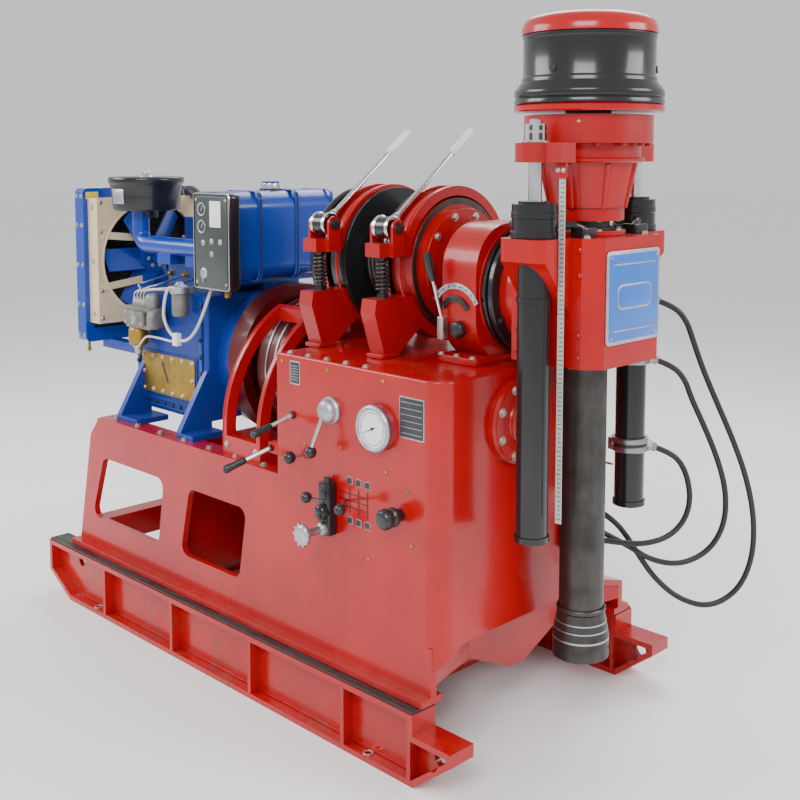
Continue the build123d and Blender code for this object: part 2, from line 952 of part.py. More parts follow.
with BuildPart() as flywheel:
    with BuildSketch(Plane.YZ.offset(flywheel_rear)):
        with Locations((0, crank_z)):
            Circle(flywheel_r)
    extrude(amount=flywheel_front - flywheel_rear)
    with BuildSketch(Plane.YZ.offset(flywheel_front)):
        with Locations((0, crank_z)):
            Circle(flywheel_r - 34)
            Circle(70, mode=Mode.SUBTRACT)
    extrude(amount=-26, mode=Mode.SUBTRACT)
    with BuildSketch(Plane.YZ.offset(bell_front - 34)):
        with Locations((0, crank_z)):
            Circle(crank_r)
    extrude(amount=clutch_rear - bell_front + 34)
write(flywheel.part, "flywheel")

with BuildPart() as clutch_drum:
    with BuildSketch(Plane.YZ.offset(clutch_rear)):
        with Locations((0, crank_z)):
            Circle(clutch_r)
    extrude(amount=clutch_front - clutch_rear)
    with BuildSketch(Plane.YZ.offset(clutch_front)):
        with Locations((0, crank_z)):
            Circle(clutch_r - 22)
            Circle(64, mode=Mode.SUBTRACT)
    extrude(amount=-46, mode=Mode.SUBTRACT)
    with BuildSketch(Plane.YZ.offset(clutch_front)):
        with Locations((0, crank_z)):
            Circle(crank_r)
    extrude(amount=housing_rear + shaft_bore_depth - 6 - clutch_front)
write(clutch_drum.part, "clutch_drum")

# Quarter-round guards at both sides of the clutch, each two hoops, a sill and a top strip
guard_depth = 32.0
guard_end_y = 150.0
guard_sill = 52.0
top_strip = 14.0
with BuildPart() as clutch_guards:
    for side in (-1, 1):
        with BuildSketch(Plane.YZ.offset(guard_rear)):
            with Locations((0, guard_z)):
                Circle(guard_r)
                Circle(guard_r - guard_depth, mode=Mode.SUBTRACT)
            with Locations((side * (guard_r - guard_depth / 2), guard_z)):
                Rectangle(
                    guard_depth,
                    guard_z - bed_top,
                    align=(Align.CENTER, Align.MAX),
                )
            with Locations((side * guard_end_y, guard_z)):
                Rectangle(
                    4 * guard_r,
                    3 * guard_r,
                    align=(Align.MAX if side > 0 else Align.MIN, Align.CENTER),
                    mode=Mode.SUBTRACT,
                )
            with Locations((0, bed_top)):
                Rectangle(
                    4 * guard_r,
                    4 * guard_r,
                    align=(Align.CENTER, Align.MAX),
                    mode=Mode.SUBTRACT,
                )
        extrude(amount=guard_front - guard_rear)
    with BuildSketch(Plane.YZ.offset(guard_rear + guard_strip)):
        with Locations((0, bed_top + guard_sill)):
            Rectangle(
                4 * guard_r,
                2 * guard_r,
                align=(Align.CENTER, Align.MIN),
            )
        for side in (-1, 1):
            with Locations((side * guard_end_y, guard_z)):
                Rectangle(
                    2 * top_strip,
                    3 * guard_r,
                    align=(Align.CENTER, Align.CENTER),
                    mode=Mode.SUBTRACT,
                )
    extrude(amount=guard_front - guard_rear - 2 * guard_strip, mode=Mode.SUBTRACT)
write(clutch_guards.part, "clutch_guards")


# ---------------------------------------------------------------- hoist
bracket_x = 172.0
bracket_thickness = 20.0
with BuildPart() as hoist_shaft:
    with BuildSketch(Plane.YZ.offset(bracket_x)):
        with BuildLine():
            Polyline(
                (-shelf_half_width + 20, deck_top),
                (-60, hoist_z + 10),
                (60, hoist_z + 10),
                (shelf_half_width - 20, deck_top),
                close=True,
            )
        make_face()
        with Locations((0, hoist_z)):
            Circle(64)
    extrude(amount=bracket_thickness)
    with BuildSketch(Plane.YZ.offset(bracket_x)):
        with Locations((0, hoist_z)):
            Circle(hoist_shaft_r)
    extrude(amount=pedestal_rear - bracket_x)
write(hoist_shaft.part, "hoist_shaft")

drum_side = 4.0
half_band = band_width / 2
flange_t = 12.0
rear_drum_x = band_rear_x - half_band - drum_side
flange_rear_x = band_rear_x + half_band + moving_gap
flange_front_x = band_front_x - half_band - moving_gap - drum_side - flange_t - 4
with BuildPart() as hoist_drum:
    for start, end, radius in (
        (rear_drum_x + 2, flange_rear_x, brake_drum_r),
        (flange_rear_x, flange_rear_x + flange_t, rope_flange_r),
        (flange_rear_x + flange_t, flange_front_x, rope_drum_r),
        (flange_front_x, flange_front_x + flange_t, rope_flange_r),
    ):
        with BuildSketch(Plane.YZ.offset(start)):
            with Locations((0, hoist_z)):
                Circle(radius)
        extrude(amount=end - start)
    with BuildSketch(Plane.YZ.offset(rear_drum_x)):
        with Locations((0, hoist_z)):
            Circle(hoist_shaft_r + running_gap)
    extrude(amount=flange_front_x - rear_drum_x + 2 * flange_t, mode=Mode.SUBTRACT)
write(hoist_drum.part, "hoist_drum")

lift_rear_x = band_front_x - half_band - drum_side
lift_front_x = band_front_x + half_band + drum_side
lift_hub_front = pedestal_rear - 12.0
with BuildPart() as lift_wheel:
    for start, end, radius in (
        (lift_rear_x, lift_front_x, brake_drum_r),
        (lift_front_x, lift_front_x + 22, brake_drum_r - 26),
        (lift_front_x + 22, lift_hub_front, 78.0),
    ):
        with BuildSketch(Plane.YZ.offset(start)):
            with Locations((0, hoist_z)):
                Circle(radius)
        extrude(amount=end - start)
    with BuildSketch(Plane.YZ.offset(lift_rear_x)):
        with Locations((0, hoist_z)):
            Circle(hoist_shaft_r + running_gap)
    extrude(amount=lift_hub_front - lift_rear_x, mode=Mode.SUBTRACT)
write(lift_wheel.part, "lift_wheel")

# Brake bands: each a split ring with clamp lugs, a foot on the near side and one at the far side
band_gap_low = 1045.0
band_gap_high = 1145.0
lug_top = lever_hub_z - lever_hub_r - moving_gap
ear_gap = lever_hub_r + 4
lever_ear_t = 8.0
hub_half = 26.0
ear_inner = hub_half + moving_gap
rib_t = 13.0
slabs = (
    (half_band - rib_t, half_band - 6, True, True),
    (half_band - 6, half_band, True, False),
)
with BuildPart() as brake_bands:
    for centre_x in (band_rear_x, band_front_x):
        layers = [(-half_band + rib_t, half_band - rib_t, False, True)]
        for inner, outer, rim, lugs in slabs:
            layers.append((inner, outer, rim, lugs))
            layers.append((-outer, -inner, rim, lugs))
        for start, end, rim, lugs in layers:
            with BuildSketch(Plane.YZ.offset(centre_x + start)):
                with Locations((0, hoist_z)):
                    Circle(band_rib_r if rim else band_outer_r)
                if lugs:
                    with BuildLine():
                        Polyline(
                            (lever_hub_y - 50, band_gap_high),
                            (lever_hub_y - 50, lug_top),
                            (-140, lug_top),
                            (-140, band_gap_high),
                            close=True,
                        )
                    make_face()
                    with BuildLine():
                        Polyline(
                            (lever_hub_y - 60, band_gap_low),
                            (lever_hub_y - 66, band_gap_low - 34),
                            (lever_hub_y - 30, deck_top),
                            (lever_hub_y + 6, deck_top),
                            (-120, deck_top + 70),
                            (-120, band_gap_low),
                            close=True,
                        )
                    make_face()
                    with BuildLine():
                        Polyline(
                            (120, deck_top + 60),
                            (160, deck_top),
                            (band_rib_r + 26, deck_top),
                            (band_rib_r + 26, hoist_z + 30),
                            (120, hoist_z + 30),
                            close=True,
                        )
                    make_face()
                with Locations((0, hoist_z)):
                    Circle(band_inner_r, mode=Mode.SUBTRACT)
                with Locations((-band_inner_r, (band_gap_low + band_gap_high) / 2)):
                    Rectangle(300, band_gap_high - band_gap_low, mode=Mode.SUBTRACT)
            extrude(amount=end - start)
        for side in (-1, 1):
            with BuildSketch(Plane.YZ.offset(centre_x + side * ear_inner)):
                with Locations((lever_hub_y, lever_hub_z)):
                    Circle(20)
                    Rectangle(
                        40,
                        lever_hub_z - band_gap_high,
                        align=(Align.CENTER, Align.MAX),
                    )
            extrude(amount=side * lever_ear_t)
            with BuildSketch(Plane.YZ.offset(centre_x + side * (half_band - 6))):
                with Locations((lever_hub_y, lug_top)):
                    Rectangle(40, lug_top - band_gap_high, align=(Align.CENTER, Align.MAX))
            extrude(amount=side * (ear_inner - half_band + 6))
        with BuildSketch(Plane.YZ.offset(centre_x - ear_inner)):
            with Locations((lever_hub_y, lever_hub_z)):
                Circle(pin_r)
        extrude(amount=2 * ear_inner)
write(brake_bands.part, "brake_bands")


def hoist_lever(centre_x):
    """Brake lever: an eccentric hub on a pin, a rod and a thicker grip."""
    direction = Vector(0, math.cos(math.radians(lever_angle)), math.sin(math.radians(lever_angle)))
    hub = Vector(centre_x, lever_hub_y, lever_hub_z)
    with BuildPart() as lever:
        with BuildSketch(Plane.YZ.offset(centre_x - hub_half)):
            with Locations((lever_hub_y, lever_hub_z)):
                Circle(lever_hub_r)
        extrude(amount=2 * hub_half)
        with BuildSketch(Plane(origin=hub + direction * (pin_r + 8), z_dir=direction)):
            Circle(7)
        extrude(amount=lever_length - 90 - pin_r - 8)
        with BuildSketch(Plane(origin=hub + direction * (lever_length - 92), z_dir=direction)):
            Circle(10.5)
        extrude(amount=92)
        with BuildSketch(Plane.YZ.offset(centre_x - hub_half)):
            with Locations((lever_hub_y, lever_hub_z)):
                Circle(pin_r + running_gap)
        extrude(amount=2 * hub_half, mode=Mode.SUBTRACT)
    return lever.part


write(hoist_lever(band_rear_x), "hoist_lever_rear")
write(hoist_lever(band_front_x), "hoist_lever_front")

journal_depth = 56.0
with BuildPart() as head_pedestal:
    with BuildSketch(Plane.YZ.offset(pedestal_rear)) as tombstone:
        with Locations((0, deck_top)):
            Rectangle(
                2 * pedestal_half_width,
                pedestal_top - deck_top,
                align=(Align.CENTER, Align.MIN),
            )
        fillet(tombstone.vertices().group_by(Axis.Z)[-1], radius=112)
    extrude(amount=pedestal_front - pedestal_rear)
    with BuildSketch(Plane.YZ.offset(pedestal_front)):
        with Locations((0, swivel_z)):
            Circle(journal_r + running_gap)
    extrude(amount=-journal_depth - 4, mode=Mode.SUBTRACT)
write(head_pedestal.part, "head_pedestal")


# ---------------------------------------------------------------- spindle head
ring_rear = pedestal_front + moving_gap
ring_front = ring_rear + 32.0
near_gusset = 120.0
far_gusset = 60.0
rule_x = 962.5
rule_half = 7.5
rule_y = -184.0
rule_thickness = 3.0
with BuildPart() as spindle_head:
    with BuildSketch(Plane.XY.offset(head_bottom)):
        with BuildLine():
            Polyline(
                (head_rear, -head_half_width),
                (head_front - head_chamfer, -head_half_width),
                (head_front, -head_half_width + head_chamfer),
                (head_front, head_half_width - head_chamfer),
                (head_front - head_chamfer, head_half_width),
                (head_rear, head_half_width),
                close=True,
            )
        make_face()
    extrude(amount=head_top - head_bottom)
    with BuildSketch(Plane.YZ.offset(spindle_x - ear_half_length)):
        with BuildLine():
            Polyline(
                (-ear_reach, head_top),
                (-ear_reach, head_top - ear_thickness),
                (-feed_spacing - 40, head_top - ear_thickness),
                (-head_half_width, head_top - ear_thickness - near_gusset),
                (head_half_width, head_top - ear_thickness - far_gusset),
                (feed_spacing + 40, head_top - ear_thickness),
                (ear_reach, head_top - ear_thickness),
                (ear_reach, head_top),
                close=True,
            )
        make_face()
    extrude(amount=2 * ear_half_length)
    fillet(
        spindle_head.faces().sort_by(Axis.Y)[0].edges().filter_by(Axis.Z)
        + spindle_head.faces().sort_by(Axis.Y)[-1].edges().filter_by(Axis.Z),
        radius=24,
    )
    with BuildSketch(Plane.YZ.offset(pedestal_front - journal_depth)):
        with Locations((0, swivel_z)):
            Circle(journal_r)
    extrude(amount=head_rear - pedestal_front + journal_depth)
    with BuildSketch(Plane.YZ.offset(ring_front)):
        with Locations((0, swivel_z)):
            Circle(128)
    extrude(amount=head_rear - ring_front)
    with BuildSketch(Plane.XY.offset(head_bottom)):
        with Locations((spindle_x, 0)):
            Circle(spindle_r + running_gap)
    extrude(amount=head_top - head_bottom, mode=Mode.SUBTRACT)
    with BuildSketch(Plane.XY.offset(barrel_bottom)):
        with Locations((spindle_x, -feed_spacing), (spindle_x, feed_spacing)):
            Circle(feed_barrel_r)
    extrude(amount=head_top - barrel_bottom, mode=Mode.SUBTRACT)
    with Locations((rule_x, rule_y + rule_thickness / 2, head_top)):
        Box(
            2 * rule_half + 2 * moving_gap,
            rule_thickness + 2 * moving_gap,
            900,
            mode=Mode.SUBTRACT,
        )
write(spindle_head.part, "spindle_head")

with BuildPart() as swivel_ring:
    with BuildSketch(Plane.YZ.offset(ring_rear)):
        with Locations((0, swivel_z)):
            Circle(swivel_ring_r)
            Circle(journal_r, mode=Mode.SUBTRACT)
    extrude(amount=ring_front - ring_rear)
write(swivel_ring.part, "swivel_ring")

barrel_cap = 16.0
gland_r = 50.0
with BuildPart() as feed_barrels:
    for side in (-1, 1):
        centre = (spindle_x, side * feed_spacing)
        with BuildSketch(Plane.XY.offset(barrel_bottom)):
            with Locations(centre):
                Circle(feed_barrel_r)
        extrude(amount=barrel_top - barrel_bottom)
        with BuildSketch(Plane.XY.offset(head_top)):
            with Locations(centre):
                Circle(gland_r)
        extrude(amount=barrel_top - head_top - 6)
        with BuildSketch(Plane.XY.offset(barrel_bottom + barrel_cap)):
            with Locations(centre):
                Circle(feed_bore_r)
        extrude(amount=barrel_top - barrel_bottom - 3 * barrel_cap, mode=Mode.SUBTRACT)
        with BuildSketch(Plane.XY.offset(barrel_top - 3 * barrel_cap)):
            with Locations(centre):
                Circle(feed_rod_r + running_gap)
        extrude(amount=3 * barrel_cap, mode=Mode.SUBTRACT)
write(feed_barrels.part, "feed_barrels")

badge_bottom = 976.0
badge_top = 1182.0
badge_thickness = 8.0
with BuildPart() as badge_plate:
    with Locations((head_front, 0, (badge_bottom + badge_top) / 2)):
        Box(
            badge_thickness,
            2 * (head_half_width - head_chamfer) - 4,
            badge_top - badge_bottom,
            align=(Align.MIN, Align.CENTER, Align.CENTER),
        )
    fillet(badge_plate.edges().filter_by(Axis.X), radius=6)
write(badge_plate.part, "badge_plate")


# ---------------------------------------------------------------- crosshead
with BuildPart() as crosshead:
    with BuildSketch(Plane.XY.offset(crosshead_bottom)) as yoke:
        with Locations((spindle_x, 0)):
            Circle(crosshead_r)
        with Locations((spindle_x, 0)):
            Rectangle(88, 2 * feed_spacing)
        with Locations((spindle_x, -feed_spacing), (spindle_x, feed_spacing)):
            Circle(44)
        with Locations((rule_x - 14, rule_y)):
            Rectangle(60, 50)
    extrude(amount=crosshead_top - crosshead_bottom)
    with BuildSketch(Plane.XY.offset(crosshead_bottom - 100)):
        with Locations((spindle_x, 0)):
            Circle(90)
    with BuildSketch(Plane.XY.offset(crosshead_bottom)):
        with Locations((spindle_x, 0)):
            Circle(112)
    loft()
    with BuildSketch(Plane.XY.offset(crosshead_bottom - 130)):
        with Locations((spindle_x, 0)):
            Circle(84)
    extrude(amount=30)
    with BuildSketch(Plane.XY.offset(crosshead_top)):
        with Locations((spindle_x, 0)):
            Circle(neck_r)
    extrude(amount=neck_top - crosshead_top)
    with BuildSketch(Plane.XY.offset(crosshead_bottom - 130)):
        with Locations((spindle_x, 0)):
            Circle(spindle_r + running_gap)
    extrude(amount=neck_top - crosshead_bottom + 130, mode=Mode.SUBTRACT)
write(crosshead.part, "crosshead")

feed_rod_bottom = 588.0
rod_nut_r = 24.0
with BuildPart() as feed_rods:
    for side in (-1, 1):
        with BuildSketch(Plane.XY.offset(feed_rod_bottom)):
            with Locations((spindle_x, side * feed_spacing)):
                Circle(feed_rod_r)
        extrude(amount=crosshead_bottom - feed_rod_bottom)
        with BuildSketch(Plane.XY.offset(crosshead_top)):
            with Locations((spindle_x, side * feed_spacing)):
                RegularPolygon(rod_nut_r, 6)
        extrude(amount=40)
write(feed_rods.part, "feed_rods")

rule_bottom = 590.0
with BuildPart() as depth_rule:
    with Locations((rule_x, rule_y, rule_bottom)):
        Box(
            2 * rule_half,
            rule_thickness,
            crosshead_bottom - rule_bottom,
            align=(Align.CENTER, Align.MIN, Align.MIN),
        )
write(depth_rule.part, "depth_rule")


# ---------------------------------------------------------------- spindle
flange_bottom = neck_top + moving_gap
flange_top = 1500.0
nut_shoulder = 270.0
with BuildPart() as spindle_tube:
    with BuildSketch(Plane.XZ) as section:
        with BuildLine():
            Polyline(
                (nut_bore_r, nut_bottom),
                (nut_r, nut_bottom),
                (nut_r, nut_shoulder),
                (spindle_r + 3, nut_top),
                (spindle_r, nut_top),
                (spindle_r, flange_top),
                (spindle_bore_r, flange_top),
                (spindle_bore_r, nut_top),
                (nut_bore_r, nut_top),
                close=True,
            )
        make_face()
    revolve(axis=Axis.Z)
write(Pos(spindle_x, 0, 0) * spindle_tube.part, "spindle_tube")

ring_top = 1530.0
bevel_top = 1552.0
with BuildPart() as chuck:
    with BuildSketch(Plane.XZ) as section:
        with BuildLine():
            Polyline(
                (0, flange_top),
                (chuck_r, flange_top),
                (chuck_r, ring_top),
                (drum_r, bevel_top),
                (drum_r, chuck_top),
                (0, chuck_top),
                close=True,
            )
        make_face()
    revolve(axis=Axis.Z)
write(Pos(spindle_x, 0, 0) * chuck.part, "chuck")

cap_r = 152.0
with BuildPart() as chuck_covers:
    with BuildSketch(Plane.XZ) as section:
        with BuildLine():
            Polyline(
                (spindle_r, flange_bottom),
                (chuck_r, flange_bottom),
                (chuck_r, flange_top),
                (spindle_r, flange_top),
                close=True,
            )
        make_face()
        with BuildLine():
            Line((0, chuck_top), (cap_r, chuck_top))
            Line((cap_r, chuck_top), (cap_r, chuck_top + 14))
            ThreePointArc(
                (cap_r, chuck_top + 14),
                (cap_r - 34, cap_top - 12),
                (cap_r - 76, cap_top - 5),
            )
            Line((cap_r - 76, cap_top - 5), (22, cap_top - 5))
            Line((22, cap_top - 5), (20, cap_top))
            Line((20, cap_top), (0, cap_top))
            Line((0, cap_top), (0, chuck_top))
        make_face()
    revolve(axis=Axis.Z)
write(Pos(spindle_x, 0, 0) * chuck_covers.part, "chuck_covers")


# ---------------------------------------------------------------- hoses
# A hose point is its reach out from the far feed barrel, its shift across and its height.
hose_r = 7.0
port_heights = (1050.0, 905.0, 690.0)
collar_r = 46.0
collar_height = 34.0
nipple_r = 10.0
nipple_length = 36.0
nipple_droop = 20.0
nipple_root = 30.0
reach_dir = Vector(math.sqrt(0.5), math.sqrt(0.5), 0)
shift_dir = Vector(math.sqrt(0.5), -math.sqrt(0.5), 0)


def hose_point(reach, shift, height):
    """Point beside the far feed barrel."""
    return Vector(spindle_x, feed_spacing, height) + reach_dir * reach + shift_dir * shift


def tilted(angle):
    """Direction out from the barrel and down by an angle."""
    return reach_dir * math.cos(math.radians(angle)) - Vector(0, 0, math.sin(math.radians(angle)))


with BuildPart() as hose_ports:
    for z in port_heights:
        with BuildSketch(Plane.XY.offset(z - collar_height / 2)):
            with Locations((spindle_x, feed_spacing)):
                Circle(collar_r)
        extrude(amount=collar_height)
        with BuildSketch(
            Plane(origin=hose_point(nipple_root, 0, z), z_dir=tilted(nipple_droop))
        ):
            Circle(nipple_r)
        extrude(amount=nipple_length)
    with BuildSketch(Plane.XY.offset(barrel_bottom)):
        with Locations((spindle_x, feed_spacing)):
            Circle(feed_barrel_r)
    extrude(amount=head_top - barrel_bottom, mode=Mode.SUBTRACT)
write(hose_ports.part, "hose_ports")

# Ends of the three fittings on the front of the housing: reach, shift, height, droop
fitting_ends = (
    (-70.9, -38.2, 510.0, 30.0),
    (-92.1, -17.0, 478.0, 30.0),
    (-113.3, 4.2, 447.0, 0.0),
)
fitting_length = 36.0
block_thickness = 18.0
with BuildPart() as hose_fittings:
    with Locations((housing_front, 110, 489)):
        Box(block_thickness, 104, 124, align=(Align.MIN, Align.CENTER, Align.CENTER))
    for reach, shift, z, droop in fitting_ends:
        end = hose_point(reach, shift, z)
        with BuildSketch(
            Plane(origin=end - tilted(droop) * fitting_length, z_dir=tilted(droop))
        ):
            Circle(nipple_r)
        extrude(amount=fitting_length)
write(hose_fittings.part, "hose_fittings")

drop = math.radians(nipple_droop)
port_reach = nipple_root + nipple_length * math.cos(drop)
port_drop = nipple_length * math.sin(drop)
first_run = 42.5
last_run = 46.0


def leaving(z):
    """First two points of a hose, straight out of its port."""
    height = z - port_drop
    return [
        (port_reach, 0, height),
        (port_reach + first_run * math.cos(drop), 0, height - first_run * math.sin(drop)),
    ]


def arriving(fitting):
    """Last two points of a hose, straight into its fitting."""
    reach, shift, z, droop = fitting
    droop = math.radians(droop)
    before = (
        reach + last_run * math.cos(droop),
        shift,
        z - last_run * math.sin(droop),
    )
    return [before, (reach, shift, z)]


routes = {
    "hose_long": [
        *leaving(port_heights[0]),
        (132, 0, 990),
        (148, 0, 944),
        (174, -1, 872),
        (212, -2, 786),
        (254, -4, 694),
        (292, -8, 594),
        (314, -12, 490),
        (313, -18, 388),
        (281, -24, 306),
        (214, -30, 262),
        (140, -35, 280),
        (80, -38, 330),
        (40, -38.2, 386),
        (8, -38.2, 439),
        *arriving(fitting_ends[0]),
    ],
    "hose_middle": [
        *leaving(port_heights[1]),
        (132, 0, 845),
        (148, 0, 799),
        (180, -1, 733),
        (216, -2, 650),
        (241, -4, 562),
        (238, -7, 476),
        (200, -11, 410),
        (133, -15, 377),
        (62, -17, 388),
        (5, -17, 425),
        *arriving(fitting_ends[1]),
    ],
    "hose_short": [
        *leaving(port_heights[2]),
        (131, 0, 633),
        (147, 0, 587),
        (151, 0, 538),
        (136, 0, 490),
        (98, 1, 452),
        (40, 3, 436),
        (-20, 4, 440),
        *arriving(fitting_ends[2]),
    ],
}


def corner_radii(points):
    """Largest arc that each corner's two runs leave room for."""
    radii = []
    for before, corner, after in zip(points, points[1:], points[2:]):
        run_in = corner - before
        run_out = after - corner
        half_turn = math.radians(run_in.get_angle(run_out)) / 2
        radii.append(0.45 * min(run_in.length, run_out.length) / math.tan(half_turn))
    return radii


for node, route_points in routes.items():
    points = [hose_point(*point) for point in route_points]
    radii = corner_radii(points)
    with BuildPart() as hose:
        with BuildLine() as route:
            FilletPolyline(*points, radius=radii)
        with BuildSketch(Plane(origin=points[0], z_dir=points[1] - points[0])):
            Circle(hose_r)
        sweep(path=route.wires()[0])
    length = route.wires()[0].length
    share = hose.part.volume / (math.pi * hose_r**2 * length)
    print(node, "length", round(length), "volume share", round(share, 4))
    print("  radii", [round(r) for r in radii])
    write(hose.part, node)
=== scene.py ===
"""Looks of a skid-mounted spindle core drilling rig, laid out as an add-on and run as a script.

Lengths are in metres. +X points forward to the spindle, -Y is the side with the controls, +Z is up.
"""

import math

import bmesh
import bpy
import numpy as np
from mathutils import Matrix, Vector


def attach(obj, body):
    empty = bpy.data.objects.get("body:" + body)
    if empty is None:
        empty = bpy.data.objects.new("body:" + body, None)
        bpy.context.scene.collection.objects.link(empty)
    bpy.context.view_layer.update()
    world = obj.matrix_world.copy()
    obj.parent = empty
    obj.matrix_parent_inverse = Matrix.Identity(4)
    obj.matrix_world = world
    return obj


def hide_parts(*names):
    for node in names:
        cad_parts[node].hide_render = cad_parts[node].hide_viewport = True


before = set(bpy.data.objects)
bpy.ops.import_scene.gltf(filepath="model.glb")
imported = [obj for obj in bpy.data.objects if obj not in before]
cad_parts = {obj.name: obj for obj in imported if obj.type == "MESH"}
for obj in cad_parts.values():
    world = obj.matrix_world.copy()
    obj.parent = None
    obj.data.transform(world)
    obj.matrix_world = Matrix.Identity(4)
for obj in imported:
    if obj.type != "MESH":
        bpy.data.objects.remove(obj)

bl_info = {
    "name": "Spindle Drilling Rig Looks",
    "version": (1, 0, 0),
    "blender": (4, 5, 0),
    "location": "View3D > Sidebar > Drilling Rig",
    "description": "Adds the visible pieces, materials, lights and camera of a spindle drilling rig",
    "category": "Object",
}

TAU = 2 * math.pi
X = (1.0, 0.0, 0.0)
Y = (0.0, 1.0, 0.0)
Z = (0.0, 0.0, 1.0)


# ---------------------------------------------------------------- settings


def length(name, description, default):
    return bpy.props.FloatProperty(
        name=name, description=description, default=default, min=0.0, unit="LENGTH"
    )


def share(name, description, default):
    return bpy.props.FloatProperty(
        name=name, description=description, default=default, min=0.0, max=1.0, subtype="FACTOR"
    )


def colour(name, description, default):
    return bpy.props.FloatVectorProperty(
        name=name, description=description, default=default, min=0.0, max=1.0, subtype="COLOR"
    )


class RigPaintSettings(bpy.types.PropertyGroup):
    """Colours and wear of the rig's finishes."""

    red: colour("Red", "Main paint of the rig", (0.44, 0.0008, 0.0022))
    blue: colour("Blue", "Paint of the engine, tank and radiator", (0.004, 0.045, 0.36))
    black: colour("Black", "Black enamel of the cylinders and chuck", (0.012, 0.012, 0.014))
    cream: colour("Cream", "Paint of the fan shroud", (0.72, 0.58, 0.36))
    grime: share("Grime", "How much dust and oil lies on the paint", 0.35)
    gloss: share("Gloss", "How strong the clear coat over the paint is", 0.35)


class RigDetailSettings(bpy.types.PropertyGroup):
    """Sizes of the small parts."""

    edge: length("Edge", "Width of the rounded edges of plates and castings", 0.0028)
    hose: length("Hose", "Outer diameter of a hydraulic hose", 0.014)
    rule_step: length("Rule step", "Spacing of the marks on the depth rule", 0.01)


class RigStageSettings(bpy.types.PropertyGroup):
    """Camera, lights and floor."""

    camera: bpy.props.FloatVectorProperty(
        name="Camera",
        description="Place of the camera",
        default=(2.432, -2.130, 1.392),
        subtype="TRANSLATION",
    )
    turn: bpy.props.FloatProperty(
        name="Turn",
        description="Heading of the camera",
        default=math.radians(45.14),
        subtype="ANGLE",
    )
    pitch: bpy.props.FloatProperty(
        name="Pitch",
        description="How far the camera looks down",
        default=math.radians(5.34),
        subtype="ANGLE",
    )
    lens: bpy.props.FloatProperty(
        name="Lens", description="Focal length", default=51.26, unit="CAMERA"
    )
    rise: bpy.props.FloatProperty(
        name="Rise", description="Vertical shift of the lens", default=-0.175
    )
    light: bpy.props.FloatProperty(
        name="Light", description="Brightness of the studio lights", default=1.0, min=0.0
    )
    floor: colour("Floor", "Colour of the floor", (0.97, 0.97, 0.97))


# Places that many pieces share, in metres
SPINDLE_X = 0.895
FEED_SPACING = 0.190
SWIVEL_Z = 1.070
HOIST_Z = 1.115
CRANK_Z = 0.790
FAN_Y = -0.040
FAN_Z = 1.046
ENGINE_NEAR = -0.2495


# ---------------------------------------------------------------- shader maths


class Value:
    """A shader value or colour that takes part in arithmetic."""

    def __init__(self, shader, socket):
        self.shader = shader
        self.socket = socket

    def __add__(self, other):
        return self.shader.maths("ADD", self, other)

    def __radd__(self, other):
        return self.shader.maths("ADD", other, self)

    def __sub__(self, other):
        return self.shader.maths("SUBTRACT", self, other)

    def __rsub__(self, other):
        return self.shader.maths("SUBTRACT", other, self)

    def __mul__(self, other):
        return self.shader.maths("MULTIPLY", self, other)

    def __rmul__(self, other):
        return self.shader.maths("MULTIPLY", other, self)

    def step(self, low, high, bottom=0.0, top=1.0):
        """Smooth step from bottom at low to top at high."""
        return self.shader.node(
            "ShaderNodeMapRange",
            {"interpolation_type": "SMOOTHSTEP"},
            Value=self,
            **{"From Min": low, "From Max": high, "To Min": bottom, "To Max": top},
        )


